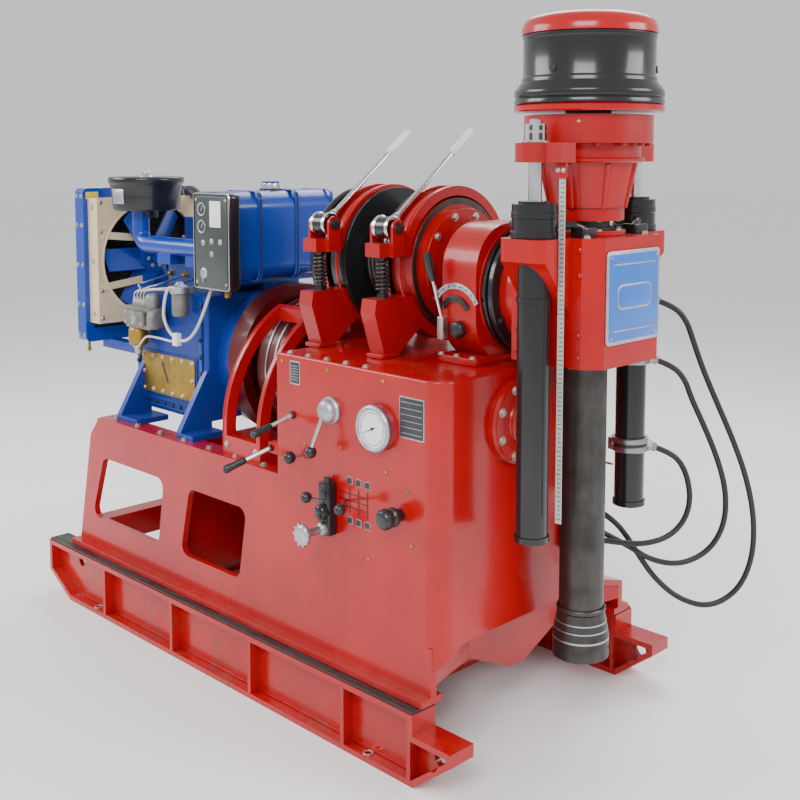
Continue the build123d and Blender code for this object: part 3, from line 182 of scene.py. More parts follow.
class Shader:
    """A material made of nodes."""

    def __init__(self, name):
        self.material = bpy.data.materials.new(name)
        self.material.use_nodes = True
        self.tree = self.material.node_tree
        self.tree.nodes.clear()
        self.place = self.node("ShaderNodeTexCoord", out="Object")

    def node(self, kind, settings=None, out=0, **inputs):
        """Any node: its type, its settings, then its sockets."""
        made = self.tree.nodes.new(kind)
        for name, value in (settings or {}).items():
            setattr(made, name, value)
        for name, value in inputs.items():
            self.feed(made.inputs[name], value)
        return Value(self, made.outputs[out])

    def feed(self, socket, value):
        if isinstance(value, Value):
            self.tree.links.new(value.socket, socket)
        elif value is not None:
            if socket.type == "RGBA" and len(value) == 3:
                value = (*value, 1.0)
            socket.default_value = value

    def maths(self, kind, a, b=None, clamp=False):
        made = self.tree.nodes.new("ShaderNodeMath")
        made.operation = kind
        made.use_clamp = clamp
        self.feed(made.inputs[0], a)
        if b is not None:
            self.feed(made.inputs[1], b)
        return Value(self, made.outputs[0])

    def noise(self, scale, detail=3.0, roughness=0.55, stretch=None):
        place = self.place
        if stretch:
            place = self.node(
                "ShaderNodeVectorMath", {"operation": "MULTIPLY"}, Vector=place
            )
            place.socket.node.inputs[1].default_value = stretch
        return self.node(
            "ShaderNodeTexNoise",
            out="Fac",
            Vector=place,
            Scale=scale,
            Detail=detail,
            Roughness=roughness,
        )

    def axis(self, index):
        made = self.tree.nodes.new("ShaderNodeSeparateXYZ")
        self.feed(made.inputs[0], self.place)
        return Value(self, made.outputs[index])

    def facing_up(self):
        made = self.tree.nodes.new("ShaderNodeSeparateXYZ")
        self.feed(made.inputs[0], self.node("ShaderNodeNewGeometry", out="Normal"))
        return Value(self, made.outputs[2]).step(0.55, 0.95)

    def mix(self, factor, a, b):
        made = self.tree.nodes.new("ShaderNodeMix")
        made.data_type = "RGBA"
        self.feed(made.inputs["Factor"], factor)
        self.feed(made.inputs[6], a)
        self.feed(made.inputs[7], b)
        return Value(self, made.outputs[2])

    def bump(self, height, distance, strength=1.0):
        return self.node(
            "ShaderNodeBump", out="Normal", Height=height, Distance=distance, Strength=strength
        )

    def finish(self, base, rough, bump=None, **constants):
        """Principled surface: base colour, roughness and bump vary; the rest are constants."""
        inputs = {"Base Color": base, "Roughness": rough}
        if bump is not None:
            inputs["Normal"] = bump
        for name, value in constants.items():
            inputs[name.replace("_", " ")] = value
        surface = self.node("ShaderNodeBsdfPrincipled", out="BSDF", **inputs)
        made = self.tree.nodes.new("ShaderNodeOutputMaterial")
        self.feed(made.inputs["Surface"], surface)
        return self.material


def shade(tone, amount):
    return tuple(channel * amount for channel in tone)


def paint(name, tone, rough=0.2, coat=0.6, grime=0.35, texture=0.25):
    """Sprayed enamel: slow blotches, orange peel, dust on top faces, grime low down and small chips."""
    s = Shader(name)
    blotch = s.noise(4.0, 3.0).step(0.35, 0.7)
    patch = s.noise(17.0, 4.0).step(0.45, 0.75)
    low = s.axis(2).step(0.34, 0.02) * patch * grime
    dust = s.facing_up() * s.noise(9.0, 5.0).step(0.42, 0.8) * (0.35 * grime)
    chip = s.noise(62.0, 7.0, 0.68).step(0.70, 0.78)
    base = s.mix(blotch, tone, shade(tone, 0.80))
    base = s.mix(low, base, (0.13, 0.075, 0.05))
    base = s.mix(dust, base, (0.30, 0.23, 0.18))
    base = s.mix(chip * (0.8 * grime), base, (0.045, 0.03, 0.028))
    roughness = rough + 0.10 * blotch + 0.35 * low + 0.5 * dust
    peel = s.noise(240.0, 1.0) * texture + s.noise(28.0, 2.0) * 0.5
    return s.finish(
        base,
        roughness,
        s.bump(peel, 0.0006, 0.5),
        Coat_Weight=coat,
        Coat_Roughness=0.10,
        Specular_IOR_Level=0.35,
    )


def metal(name, tone, rough, stretch=None, metallic=1.0, stain=0.4, grain=0.0003):
    """Machined or cast metal: stretched scratches, stains and a little bump."""
    s = Shader(name)
    scratch = s.noise(70.0, 4.0, 0.7, stretch)
    blotch = s.noise(11.0, 4.0).step(0.4, 0.72)
    base = s.mix(scratch.step(0.3, 0.7), shade(tone, 0.78), tone)
    base = s.mix(blotch * stain, base, shade(tone, 0.35))
    return s.finish(
        base,
        rough + 0.22 * scratch + 0.25 * (blotch * stain),
        s.bump(scratch, grain, 0.6),
        Metallic=metallic,
    )


def plain(name, tone, rough, metallic=0.0, grain=55.0, spread=0.25, depth=0.0003, **constants):
    """Plastic, rubber or print: fine grain with a slow change of colour."""
    s = Shader(name)
    fine = s.noise(grain, 4.0, 0.6)
    slow = s.noise(6.0, 3.0).step(0.35, 0.75)
    base = s.mix(slow, tone, shade(tone, 1.0 - spread))
    return s.finish(
        base,
        rough + 0.14 * fine,
        s.bump(fine, depth, 0.5),
        Metallic=metallic,
        **constants,
    )


def greasy():
    """Black grease smeared on a slide: wet streaks along the rail over dry dark film."""
    s = Shader("grease")
    streak = s.noise(30.0, 5.0, 0.65, (0.16, 1.0, 1.0)).step(0.42, 0.6)
    base = s.mix(streak, (0.010, 0.009, 0.010), (0.045, 0.030, 0.028))
    return s.finish(base, 0.22 + 0.4 * streak, s.bump(s.noise(40.0, 5.0, 0.6, (0.3, 1.0, 1.0)), 0.0015))


def core_fins():
    """Radiator core: fine upright fins crossed by tubes."""
    s = Shader("radiator_core")
    wave = s.maths("SINE", s.axis(1) * 1500.0)
    tube = s.maths("SINE", s.axis(2) * 560.0).step(0.5, 0.9)
    base = s.mix(wave.step(-0.2, 0.8), (0.006, 0.006, 0.008), (0.05, 0.05, 0.055))
    base = s.mix(tube, base, (0.09, 0.085, 0.08))
    return s.finish(base, 0.5 + 0.2 * tube, s.bump(wave + tube, 0.0012), Metallic=0.4)


MATERIALS = {}


def make_materials(look):
    """Every finish of the rig, by name."""
    red = tuple(look.red)
    blue = tuple(look.blue)
    black = tuple(look.black)
    coat = look.gloss
    grime = look.grime
    MATERIALS.update(
        red=paint("red_enamel", red, 0.22, coat, grime),
        cast_red=paint("red_casting", shade(red, 0.92), 0.3, coat * 0.8, grime, 0.9),
        blue=paint("blue_enamel", blue, 0.22, coat, grime),
        cast_blue=paint("blue_casting", shade(blue, 0.8), 0.32, coat * 0.7, grime * 1.3, 0.9),
        black=paint("black_enamel", black, 0.2, coat, grime * 0.6),
        dark_red=paint("dark_red", shade(red, 0.22), 0.4, 0.2, grime * 2.0),
        cream=paint("cream_enamel", tuple(look.cream), 0.3, 0.4, grime),
        grease=greasy(),
        steel=metal("machined_steel", (0.42, 0.41, 0.40), 0.24, (1.0, 1.0, 0.12)),
        dark_steel=metal("dark_steel", (0.085, 0.08, 0.075), 0.26, (1.0, 1.0, 0.2), 0.85, 0.6),
        chrome=metal("chrome_rod", (0.78, 0.78, 0.79), 0.07, (1.0, 1.0, 0.1), 1.0, 0.15, 0.00008),
        zinc=metal("zinc_bolt", (0.62, 0.58, 0.50), 0.3, None, 1.0, 0.5),
        brass=metal("brass_cover", (0.46, 0.29, 0.06), 0.34, None, 0.9, 0.45),
        cast_grey=metal("grey_casting", (0.30, 0.29, 0.27), 0.42, None, 0.7, 0.6, 0.0008),
        rubber=plain("hose_rubber", (0.013, 0.012, 0.013), 0.34, grain=300.0),
        plastic=plain("black_plastic", (0.010, 0.010, 0.011), 0.28, Coat_Weight=0.3),
        white=plain("white_print", (0.82, 0.83, 0.85), 0.45, spread=0.08),
        ivory=plain("ivory_grip", (0.80, 0.79, 0.76), 0.25, spread=0.1, Coat_Weight=0.5),
        ink=plain("dark_print", (0.03, 0.03, 0.035), 0.4),
        yellow=plain("yellow_print", (0.85, 0.55, 0.03), 0.45, spread=0.12),
        hose_pale=plain("pale_hose", (0.62, 0.62, 0.60), 0.3, spread=0.2, Coat_Weight=0.3),
        rule=plain("rule_face", (0.46, 0.50, 0.45), 0.35, metallic=0.4, spread=0.3),
        silver=metal("silver_trim", (0.55, 0.57, 0.62), 0.28, None, 1.0, 0.2),
        badge=paint("badge_blue", (0.02, 0.16, 0.62), 0.25, 0.4, 0.1),
        core=core_fins(),
        # painted shade: dark red-brown put into holes, slots and grooves where only shade falls
        dark_inside=plain("dark_inside", (0.035, 0.017, 0.014), 0.6),
        panel_green=plain("panel_green", (0.022, 0.034, 0.030), 0.3, spread=0.3, Coat_Weight=0.3),
    )


# ---------------------------------------------------------------- surfaces


def basis(axis):
    """Two unit directions across an axis, and the axis."""
    n = np.array(axis, float)
    n /= np.linalg.norm(n)
    u = np.cross(n, (0.0, 0.0, 1.0) if abs(n[2]) < 0.9 else (1.0, 0.0, 0.0))
    u /= np.linalg.norm(u)
    return u, np.cross(n, u), n


def soften(profile, cut):
    """A profile whose inner corners are each replaced by a short slope of up to `cut`."""
    points = [np.array(p, float) for p in profile]
    out = [points[0]]
    for before, corner, after in zip(points, points[1:], points[2:]):
        run_in = before - corner
        run_out = after - corner
        a = min(cut, 0.4 * np.linalg.norm(run_in))
        b = min(cut, 0.4 * np.linalg.norm(run_out))
        out.append(corner + run_in / max(np.linalg.norm(run_in), 1e-9) * a)
        out.append(corner + run_out / max(np.linalg.norm(run_out), 1e-9) * b)
    out.append(points[-1])
    return np.array(out)


def rounded(outline, radius, steps=4):
    """A closed outline whose corners are each a quadratic curve of about `radius`.

    c(t) = (1 - t)^2 a + 2 t (1 - t) p + t^2 b, with a and b on the two runs beside corner p.
    """
    points = np.array(outline, float)
    out = []
    t = np.linspace(0.0, 1.0, steps)[:, None]
    for i, corner in enumerate(points):
        run_in = points[i - 1] - corner
        run_out = points[(i + 1) % len(points)] - corner
        a = corner + run_in / np.linalg.norm(run_in) * min(radius, 0.45 * np.linalg.norm(run_in))
        b = corner + run_out / np.linalg.norm(run_out) * min(radius, 0.45 * np.linalg.norm(run_out))
        out.append((1 - t) ** 2 * a + 2 * t * (1 - t) * corner + t**2 * b)
    return np.concatenate(out)


def inset(outline, amount):
    """A closed outline moved inwards by about `amount`, along the mean normal of each corner."""
    ahead = np.roll(outline, -1, 0) - outline
    behind = outline - np.roll(outline, 1, 0)
    tangent = ahead / np.linalg.norm(ahead, axis=1)[:, None]
    tangent = tangent + behind / np.linalg.norm(behind, axis=1)[:, None]
    tangent /= np.linalg.norm(tangent, axis=1)[:, None]
    area = np.sum(outline[:, 0] * np.roll(outline[:, 1], -1) - np.roll(outline[:, 0], -1) * outline[:, 1])
    normal = np.stack([-tangent[:, 1], tangent[:, 0]], 1) * np.sign(area)
    return outline + normal * amount


def smooth_path(points, steps=8):
    """Catmull-Rom curve through points.

    c(t) = (2 p1 + (p2 - p0) t + (2 p0 - 5 p1 + 4 p2 - p3) t^2 + (3 p1 - p0 - 3 p2 + p3) t^3) / 2
    """
    p = np.array(points, float)
    p = np.concatenate([[2 * p[0] - p[1]], p, [2 * p[-1] - p[-2]]])
    t = np.linspace(0.0, 1.0, steps, endpoint=False)[:, None]
    out = []
    for p0, p1, p2, p3 in zip(p, p[1:], p[2:], p[3:]):
        out.append(
            (
                2 * p1
                + (p2 - p0) * t
                + (2 * p0 - 5 * p1 + 4 * p2 - p3) * t**2
                + (3 * p1 - p0 - 3 * p2 + p3) * t**3
            )
            / 2
        )
    out.append(p[-2:-1])
    return np.concatenate(out)


class Shape:
    """Surfaces gathered into one piece. Each is a grid of points, a function of two parameters."""

    def __init__(self):
        self.points = []
        self.faces = []
        self.finishes = []
        self.count = 0

    def grid(self, rings, finish, around=True, ends=True):
        """Surface p(i, j): ring i, point j. Rings close on themselves, and the ends are filled."""
        rings = np.asarray(rings, float)
        n, m = rings.shape[:2]
        index = np.arange(n * m).reshape(n, m) + self.count
        right = np.roll(index, -1, 1)
        if not around:
            right = index[:, 1:]
            index = index[:, :-1]
        quads = np.stack([index[:-1], right[:-1], right[1:], index[1:]], -1).reshape(-1, 4)
        faces = [tuple(f) for f in quads.tolist()]
        if ends and around:
            faces.append(tuple(range(self.count + m - 1, self.count - 1, -1)))
            faces.append(tuple(range(self.count + (n - 1) * m, self.count + n * m)))
        self.points.append(rings.reshape(-1, 3))
        self.faces += faces
        self.finishes += [finish] * len(faces)
        self.count += n * m
        return self

    def turned(self, origin, axis, profile, finish, cut=0.0, sides=32, phase=0.0):
        """Turned surface p(s, t) = origin + h(s) axis + r(s) (cos t u + sin t v); profile holds (r, h)."""
        profile = soften(profile, cut) if cut else np.array(profile, float)
        u, v, n = basis(axis)
        t = np.linspace(0.0, TAU, sides, endpoint=False) + phase
        ring = np.cos(t)[:, None] * u + np.sin(t)[:, None] * v
        r = np.maximum(profile[:, 0], 1e-5)
        rings = np.array(origin) + r[:, None, None] * ring + profile[:, 1][:, None, None] * n
        return self.grid(rings, finish)

    def ring(self, origin, axis, inner, outer, low, high, finish, cut=0.001, sides=48):
        """Washer or hoop: a turned surface whose profile closes on itself."""
        loop = [(inner, low), (outer, low), (outer, high), (inner, high), (inner, low)]
        u, v, n = basis(axis)
        t = np.linspace(0.0, TAU, sides, endpoint=False)
        circle = np.cos(t)[:, None] * u + np.sin(t)[:, None] * v
        profile = soften(loop, cut)
        rings = np.array(origin) + profile[:, 0][:, None, None] * circle
        rings = rings + profile[:, 1][:, None, None] * n
        return self.grid(rings, finish, ends=False)

    def rod(self, start, end, r, finish, cut=0.0015, sides=20):
        """Round bar between two points with softened ends."""
        start = np.array(start, float)
        axis = np.array(end, float) - start
        height = np.linalg.norm(axis)
        profile = [(0, 0), (r, 0), (r, height), (0, height)]
        return self.turned(start, axis, profile, finish, cut, sides)

    def slab(self, outline, origin, u, v, depth, finish, cut=0.0025, steps=3):
        """Plate of a closed outline in the plane (u, v), thick along u x v, with rounded rims.

        Ring k lies at depth d(k) and inset e(k), both on a quarter circle of radius `cut` at each rim.
        """
        outline = np.array(outline, float)
        u = np.array(u, float)
        v = np.array(v, float)
        n = np.cross(u, v)
        cut = min(cut, abs(depth) * 0.45)
        angle = np.linspace(0.0, math.pi / 2, steps)
        rings = []
        for a in angle:
            rings.append((cut * (1 - math.sin(a)), cut * (1 - math.cos(a))))
        for a in angle[::-1]:
            rings.append((cut * (1 - math.sin(a)), abs(depth) - cut * (1 - math.cos(a))))
        side = math.copysign(1.0, depth)
        stack = []
        for step_in, along in rings:
            flat = inset(outline, step_in) if step_in > 1e-9 else outline
            stack.append(
                np.array(origin) + flat[:, :1] * u + flat[:, 1:] * v + n * (side * along)
            )
        return self.grid(stack, finish)

    def block(self, low, high, finish, radius=0.006, cut=0.0025, axis=2):
        """Block with rounded corners about one axis and rounded rims."""
        low = np.array(low, float)
        high = np.array(high, float)
        a, b = [(1, 2), (2, 0), (0, 1)][axis]
        u = np.eye(3)[a]
        v = np.eye(3)[b]
        corners = [(low[a], low[b]), (high[a], low[b]), (high[a], high[b]), (low[a], high[b])]
        origin = np.zeros(3)
        origin[axis] = low[axis]
        return self.slab(
            rounded(corners, radius), origin, u, v, high[axis] - low[axis], finish, cut
        )

    def tube(self, path, r, finish, sides=12, ends=True):
        """Tube p(s, t) = c(s) + r(s) (cos t u(s) + sin t v(s)), its frame carried along the path."""
        path = np.array(path, float)
        radii = np.broadcast_to(np.array(r, float), (len(path),))
        tangent = np.gradient(path, axis=0)
        tangent /= np.linalg.norm(tangent, axis=1)[:, None]
        u = basis(tangent[0])[0]
        t = np.linspace(0.0, TAU, sides, endpoint=False)
        rings = []
        for centre, direction, radius in zip(path, tangent, radii):
            u = u - direction * np.dot(u, direction)
            u /= np.linalg.norm(u)
            v = np.cross(direction, u)
            rings.append(centre + radius * (np.cos(t)[:, None] * u + np.sin(t)[:, None] * v))
        return self.grid(rings, finish, ends=ends)

    def disc(self, origin, axis, r, height, finish, cut=0.0, sides=32):
        """Round plate or plug that stands on a point."""
        return self.turned(origin, axis, [(0, 0), (r, 0), (r, height), (0, height)], finish, cut, sides)

    def near_plate(self, low, high, y, depth, finish, radius, cut, steps=3):
        """Rounded plate on a wall that faces -Y, between two corners given as (x, z)."""
        outline = box_outline(low, high, radius, steps)
        return self.slab(outline, (0, y, 0), X, Z, depth, finish, cut)

    def ball(self, centre, r, finish, sides=28):
        """Ball: a turned surface of profile (r sin a, -r cos a)."""
        a = np.linspace(0.0, math.pi, 17)
        profile = np.stack([r * np.sin(a), -r * np.cos(a)], 1)
        return self.turned(centre, (0.0, -1.0, 0.0), profile, finish, 0.0, sides)

    def band(self, outline, low, high, rise, finish):
        """Strap around an outline in the XZ plane, from y = low to high, standing `rise` proud."""
        outline = np.array(outline, float)
        inner = inset(outline, 0.002)
        outer = inset(outline, -rise)
        rim = inset(outline, -rise * 0.5)
        edge = min(0.0006, (high - low) * 0.2)
        loops = [
            (inner, low), (rim, low), (outer, low + edge), (outer, high - edge), (rim, high),
            (inner, high), (inner, low),
        ]
        rings = [np.column_stack([o[:, 0], np.full(len(o), y), o[:, 1]]) for o, y in loops]
        return self.grid(rings, finish, ends=False)

    def bolts(self, places, axis, r, finish="zinc", height=None):
        """Hexagon heads with a chamfered top on round washers."""
        height = height or r * 0.75
        for place in places:
            washer = [(0, -0.001), (r * 1.3, -0.001), (r * 1.3, r * 0.18), (0, r * 0.18)]
            self.turned(place, axis, washer, finish, 0.0004, 16)
            head = [(0, 0), (r, 0), (r, height * 0.8), (r * 0.82, height), (0, height)]
            self.turned(place, axis, head, finish, 0.0, 6)
        return self

    def piece(self, name, body, replaces=(), sharp=34.0):
        """Makes the object, welds seams and poles, turns faces outwards and hands it to its body."""
        mesh = bpy.data.meshes.new(name)
        mesh.from_pydata(np.concatenate(self.points), [], self.faces)
        used = sorted(set(self.finishes))
        for finish in used:
            mesh.materials.append(MATERIALS[finish])
        order = {finish: i for i, finish in enumerate(used)}
        mesh.polygons.foreach_set(
            "material_index", np.array([order[f] for f in self.finishes], np.int32)
        )
        work = bmesh.new()
        work.from_mesh(mesh)
        bmesh.ops.remove_doubles(work, verts=work.verts, dist=3e-5)
        bmesh.ops.dissolve_degenerate(work, dist=1e-6, edges=work.edges)
        bmesh.ops.recalc_face_normals(work, faces=work.faces)
        work.to_mesh(mesh)
        work.free()
        mesh.shade_smooth()
        mesh.set_sharp_from_angle(angle=math.radians(sharp))
        made = bpy.data.objects.new(name, mesh)
        bpy.context.scene.collection.objects.link(made)
        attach(made, body)
        if replaces:
            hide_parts(*replaces)
        return made


def around(count, radius, phase=0.0):
    """Points on a circle, as (cos, sin) times the radius."""
    t = np.arange(count) * TAU / count + phase
    return np.stack([np.cos(t), np.sin(t)], 1) * radius


# ---------------------------------------------------------------- operators


class Piece:
    """Common parts of the rig's operators."""

    bl_options = {"REGISTER", "UNDO"}

    def execute(self, context):
        self.build(context.scene)
        return {"FINISHED"}


NODE_FINISH = {
    "skid_rail_near": "red",
    "skid_rail_far": "red",
    "skid_cross_members": "red",
    "slide_strips": "grease",
    "travel_barrel": "black",
    "travel_rod": "chrome",
    "bed_side_near": "red",
    "bed_side_far": "red",
    "bed_cross_members": "red",
    "front_cross_plate": "red",
    "gear_housing": "red",
    "front_cover": "cast_red",
    "pressure_gauge": "silver",
    "panel_controls": "black",
    "shift_levers": "chrome",
    "engine_block": "cast_blue",
    "engine_head": "cast_blue",
    "injection_pump": "cast_grey",
    "intake_pipe": "blue",
    "air_cleaner": "black",
    "radiator": "blue",
    "fan_shroud": "cream",
    "fan": "blue",
    "fuel_tank": "blue",
    "instrument_box": "black",
    "flywheel": "dark_red",
    "clutch_drum": "dark_red",
    "clutch_guards": "red",
    "hoist_shaft": "cast_red",
    "hoist_drum": "black",
    "lift_wheel": "cast_red",
    "brake_bands": "cast_red",
    "hoist_lever_rear": "chrome",
    "hoist_lever_front": "chrome",
    "head_pedestal": "cast_red",
    "spindle_head": "red",
    "swivel_ring": "black",
    "feed_barrels": "black",
    "badge_plate": "badge",
    "crosshead": "cast_red",
    "feed_rods": "chrome",
    "depth_rule": "rule",
    "spindle_tube": "dark_steel",
    "chuck": "black",
    "chuck_covers": "red",
    "hose_ports": "steel",
    "hose_fittings": "steel",
    "hose_long": "rubber",
    "hose_middle": "rubber",
    "hose_short": "rubber",
}


class RIG_OT_frame_looks(Piece, bpy.types.Operator):
    """Give every node of the frame its finish and its rounded edges"""

    bl_idname = "rig.frame_looks"
    bl_label = "Frame Looks"

    def build(self, scene):
        make_materials(scene.rig_paint)
        for node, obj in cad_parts.items():
            obj.data.materials.clear()
            obj.data.materials.append(MATERIALS[NODE_FINISH[node]])
            soft = obj.modifiers.new("rounded edges", "BEVEL")
            soft.width = scene.rig_details.edge
            soft.segments = 2
            soft.limit_method = "ANGLE"
            soft.angle_limit = math.radians(38)
            soft.harden_normals = False


# ---------------------------------------------------------------- hoses

BARREL = (SPINDLE_X, FEED_SPACING)
ROOT_HALF = math.sqrt(0.5)
DROOP = math.radians(20.0)
PORT_REACH = 0.030 + 0.036 * math.cos(DROOP)
PORT_DROP = 0.036 * math.sin(DROOP)
FIRST_RUN = 0.0425
LAST_RUN = 0.046
PORT_HEIGHTS = (1.050, 0.905, 0.690)
FITTING_ENDS = (
    (-0.0709, -0.0382, 0.510, 30.0),
    (-0.0921, -0.0170, 0.478, 30.0),
    (-0.1133, 0.0042, 0.447, 0.0),
)
HOSE_ROUTES = {
    "hose_long": (
        (0.132, 0.0, 0.990),
        (0.148, 0.0, 0.944),
        (0.174, -0.001, 0.872),
        (0.212, -0.002, 0.786),
        (0.254, -0.004, 0.694),
        (0.292, -0.008, 0.594),
        (0.314, -0.012, 0.490),
        (0.313, -0.018, 0.388),
        (0.281, -0.024, 0.306),
        (0.214, -0.030, 0.262),
        (0.140, -0.035, 0.280),
        (0.080, -0.038, 0.330),
        (0.040, -0.0382, 0.386),
        (0.008, -0.0382, 0.439),
    ),
    "hose_middle": (
        (0.132, 0.0, 0.845),
        (0.148, 0.0, 0.799),
        (0.180, -0.001, 0.733),
        (0.216, -0.002, 0.650),
        (0.241, -0.004, 0.562),
        (0.238, -0.007, 0.476),
        (0.200, -0.011, 0.410),
        (0.133, -0.015, 0.377),
        (0.062, -0.017, 0.388),
        (0.005, -0.017, 0.425),
    ),
    "hose_short": (
        (0.131, 0.0, 0.633),
        (0.147, 0.0, 0.587),
        (0.151, 0.0, 0.538),
        (0.136, 0.0, 0.490),
        (0.098, 0.001, 0.452),
        (0.040, 0.003, 0.436),
        (-0.020, 0.004, 0.440),
    ),
}


def hose_point(reach, shift, height):
    """Point beside the far feed barrel: out from it, across, and up."""
    return (
        BARREL[0] + ROOT_HALF * (reach + shift),
        BARREL[1] + ROOT_HALF * (reach - shift),
        height,
    )


class RIG_OT_hoses(Piece, bpy.types.Operator):
    """Add the three hydraulic hoses from the far feed cylinder to the housing"""

    bl_idname = "rig.hoses"
    bl_label = "Hydraulic Hoses"

    def build(self, scene):
        ports = zip(HOSE_ROUTES.items(), PORT_HEIGHTS, FITTING_ENDS)
        for (name, middle), port, (reach, shift, height, droop) in ports:
            top = port - PORT_DROP
            tilt = math.radians(droop)
            route = [
                (PORT_REACH, 0.0, top),
                (PORT_REACH + FIRST_RUN * math.cos(DROOP), 0.0, top - FIRST_RUN * math.sin(DROOP)),
                *middle,
                (reach + LAST_RUN * math.cos(tilt), shift, height - LAST_RUN * math.sin(tilt)),
                (reach, shift, height),
            ]
            points = [hose_point(*point) for point in route]
            curve = bpy.data.curves.new(name + "_line", "CURVE")
            curve.dimensions = "3D"
            curve.resolution_u = 10
            curve.bevel_depth = scene.rig_details.hose / 2
            curve.bevel_resolution = 5
            curve.use_fill_caps = True
            spline = curve.splines.new("NURBS")
            spline.points.add(len(points) - 1)
            spline.points.foreach_set("co", [x for p in points for x in (*p, 1.0)])
            spline.order_u = 3
            spline.use_endpoint_u = True
            curve.materials.append(MATERIALS["rubber"])
            made = bpy.data.objects.new(name + "_line", curve)
            bpy.context.scene.collection.objects.link(made)
            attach(made, "spindle_head")
            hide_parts(name)


# ---------------------------------------------------------------- spindle, chuck and crosshead

SPINDLE = (SPINDLE_X, 0.0, 0.0)
DOME = (
    (0.0, 1.656),
    (0.152, 1.656),
    (0.152, 1.669),
    (0.1495, 1.674),
    (0.147, 1.682),
    (0.139, 1.691),
    (0.124, 1.6975),
    (0.100, 1.7020),
    (0.078, 1.7045),
    (0.050, 1.706),
    (0.024, 1.7065),
    (0.0215, 1.7095),
    (0.0, 1.710),
)


class RIG_OT_chuck(Piece, bpy.types.Operator):
    """Add the chuck: its grooved ring, drum, lower flange and domed cover"""

    bl_idname = "rig.chuck"
    bl_label = "Chuck"

    def build(self, scene):
        drum = Shape()
        profile = [
            (0, 1.501),
            (0.168, 1.501),
            (0.168, 1.512),
            (0.1630, 1.5145),
            (0.168, 1.517),
            (0.168, 1.530),
            (0.1515, 1.551),
            (0.1515, 1.559),
            (0.148, 1.562),
            (0.148, 1.644),
            (0.1498, 1.647),
            (0.1498, 1.6555),
            (0, 1.6555),
        ]
        drum.turned(SPINDLE, Z, profile, "black", 0.0014, 80)
        for x, y in around(3, 1.0, 0.6):
            side = (SPINDLE_X + 0.1475 * x, 0.1475 * y, 1.578)
            drum.rod(side, (side[0] + 0.0035 * x, side[1] + 0.0035 * y, 1.578), 0.009, "dark_steel")
        drum.piece("chuck_drum", "spindle", ("chuck",))

        covers = Shape()
        covers.turned(SPINDLE, Z, DOME, "red", 0.0, 80)
        covers.ring(SPINDLE, Z, 0.053, 0.168, 1.484, 1.500, "red", 0.003, 80)
        for x, y in around(6, 0.112, 0.3):
            covers.disc((SPINDLE_X + x, y, 1.6975), Z, 0.006, 0.003, "zinc", 0.0008, 12)
        covers.piece("chuck_cover_shells", "spindle", ("chuck_covers",))


class RIG_OT_crosshead(Piece, bpy.types.Operator):
    """Add the crosshead's neck tiers, ribs, bolts, grease fittings and rod nuts"""

    bl_idname = "rig.crosshead"
    bl_label = "Crosshead"

    def build(self, scene):
        s = Shape()
        s.ring(SPINDLE, Z, 0.053, 0.1455, 1.4155, 1.438, "cast_red", 0.003, 72)
        s.ring(SPINDLE, Z, 0.053, 0.1385, 1.438, 1.4765, "cast_red", 0.004, 72)
        s.ring(SPINDLE, Z, 0.053, 0.128, 1.3725, 1.3835, "cast_red", 0.003, 72)
        places = [(SPINDLE_X + x, y, 1.4155) for x, y in around(14, 0.1325, 0.1)]
        s.bolts(places, (0, 0, -1), 0.0078, "cast_red", 0.007)
        for x, y in around(8, 1.0, 0.25):
            low = np.array((SPINDLE_X + 0.090 * x, 0.090 * y, 1.272))
            rise = np.array((0.02 * x, 0.02 * y, 0.098))
            s.tube([low, low + rise * 0.5, low + rise], [0.0045, 0.006, 0.0075], "cast_red", 8)
        places = [(SPINDLE_X + x, y, 1.2435) for x, y in around(8, 0.0745, 0.2)]
        s.bolts(places, (0, 0, -1), 0.0055, "zinc", 0.003)
        for x, y in around(3, 1.0, 5.2):
            foot = (SPINDLE_X + 0.1375 * x, 0.1375 * y, 1.458)
            tip = (SPINDLE_X + 0.1475 * x, 0.1475 * y, 1.462)
            s.rod(foot, tip, 0.0045, "brass")
        s.piece("crosshead_details", "crosshead")

        nuts = Shape()
        for y in (-FEED_SPACING, FEED_SPACING):
            place = (SPINDLE_X, y, 1.4152)
            nuts.ring(place, Z, 0.0155, 0.030, 0.0, 0.004, "zinc", 0.0008, 32)
            for low, high in ((0.004, 0.023), (0.0245, 0.039)):
                head = [
                    (0, low), (0.0205, low), (0.0235, low + 0.003), (0.0235, high - 0.003),
                    (0.0205, high), (0, high),
                ]
                nuts.turned(place, Z, head, "dark_steel", 0.0, 6, 0.26)
            nuts.rod((SPINDLE_X, y, 1.45), (SPINDLE_X, y, 1.4655), 0.013, "chrome")
        nuts.piece("feed_rod_nuts", "crosshead")


class RIG_OT_depth_rule(Piece, bpy.types.Operator):
    """Add the depth rule's marks and its two clamp screws"""

    bl_idname = "rig.depth_rule"
    bl_label = "Depth Rule"

    def build(self, scene):
        s = Shape()
        step = scene.rig_details.rule_step
        count = int((1.365 - 0.60) / step)
        for i in range(count):
            z = 0.60 + i * step
            long = i % 5 == 0
            low = (0.9565 if long else 0.9597, -0.18435, z - 0.0009)
            s.block(low, (0.9693, -0.18395, z + 0.0009), "ink", 0.0002, 0.0001, 1)
        s.piece("rule_marks", "crosshead")
        c = Shape()
        c.block((0.948, -0.1900, 1.340), (0.977, -0.1842, 1.374), "cast_red", 0.003, 0.001, 1)
        c.bolts([(0.9555, -0.190, 1.357), (0.9695, -0.190, 1.357)], (0, -1, 0), 0.0045)
        c.piece("rule_clamp", "crosshead")


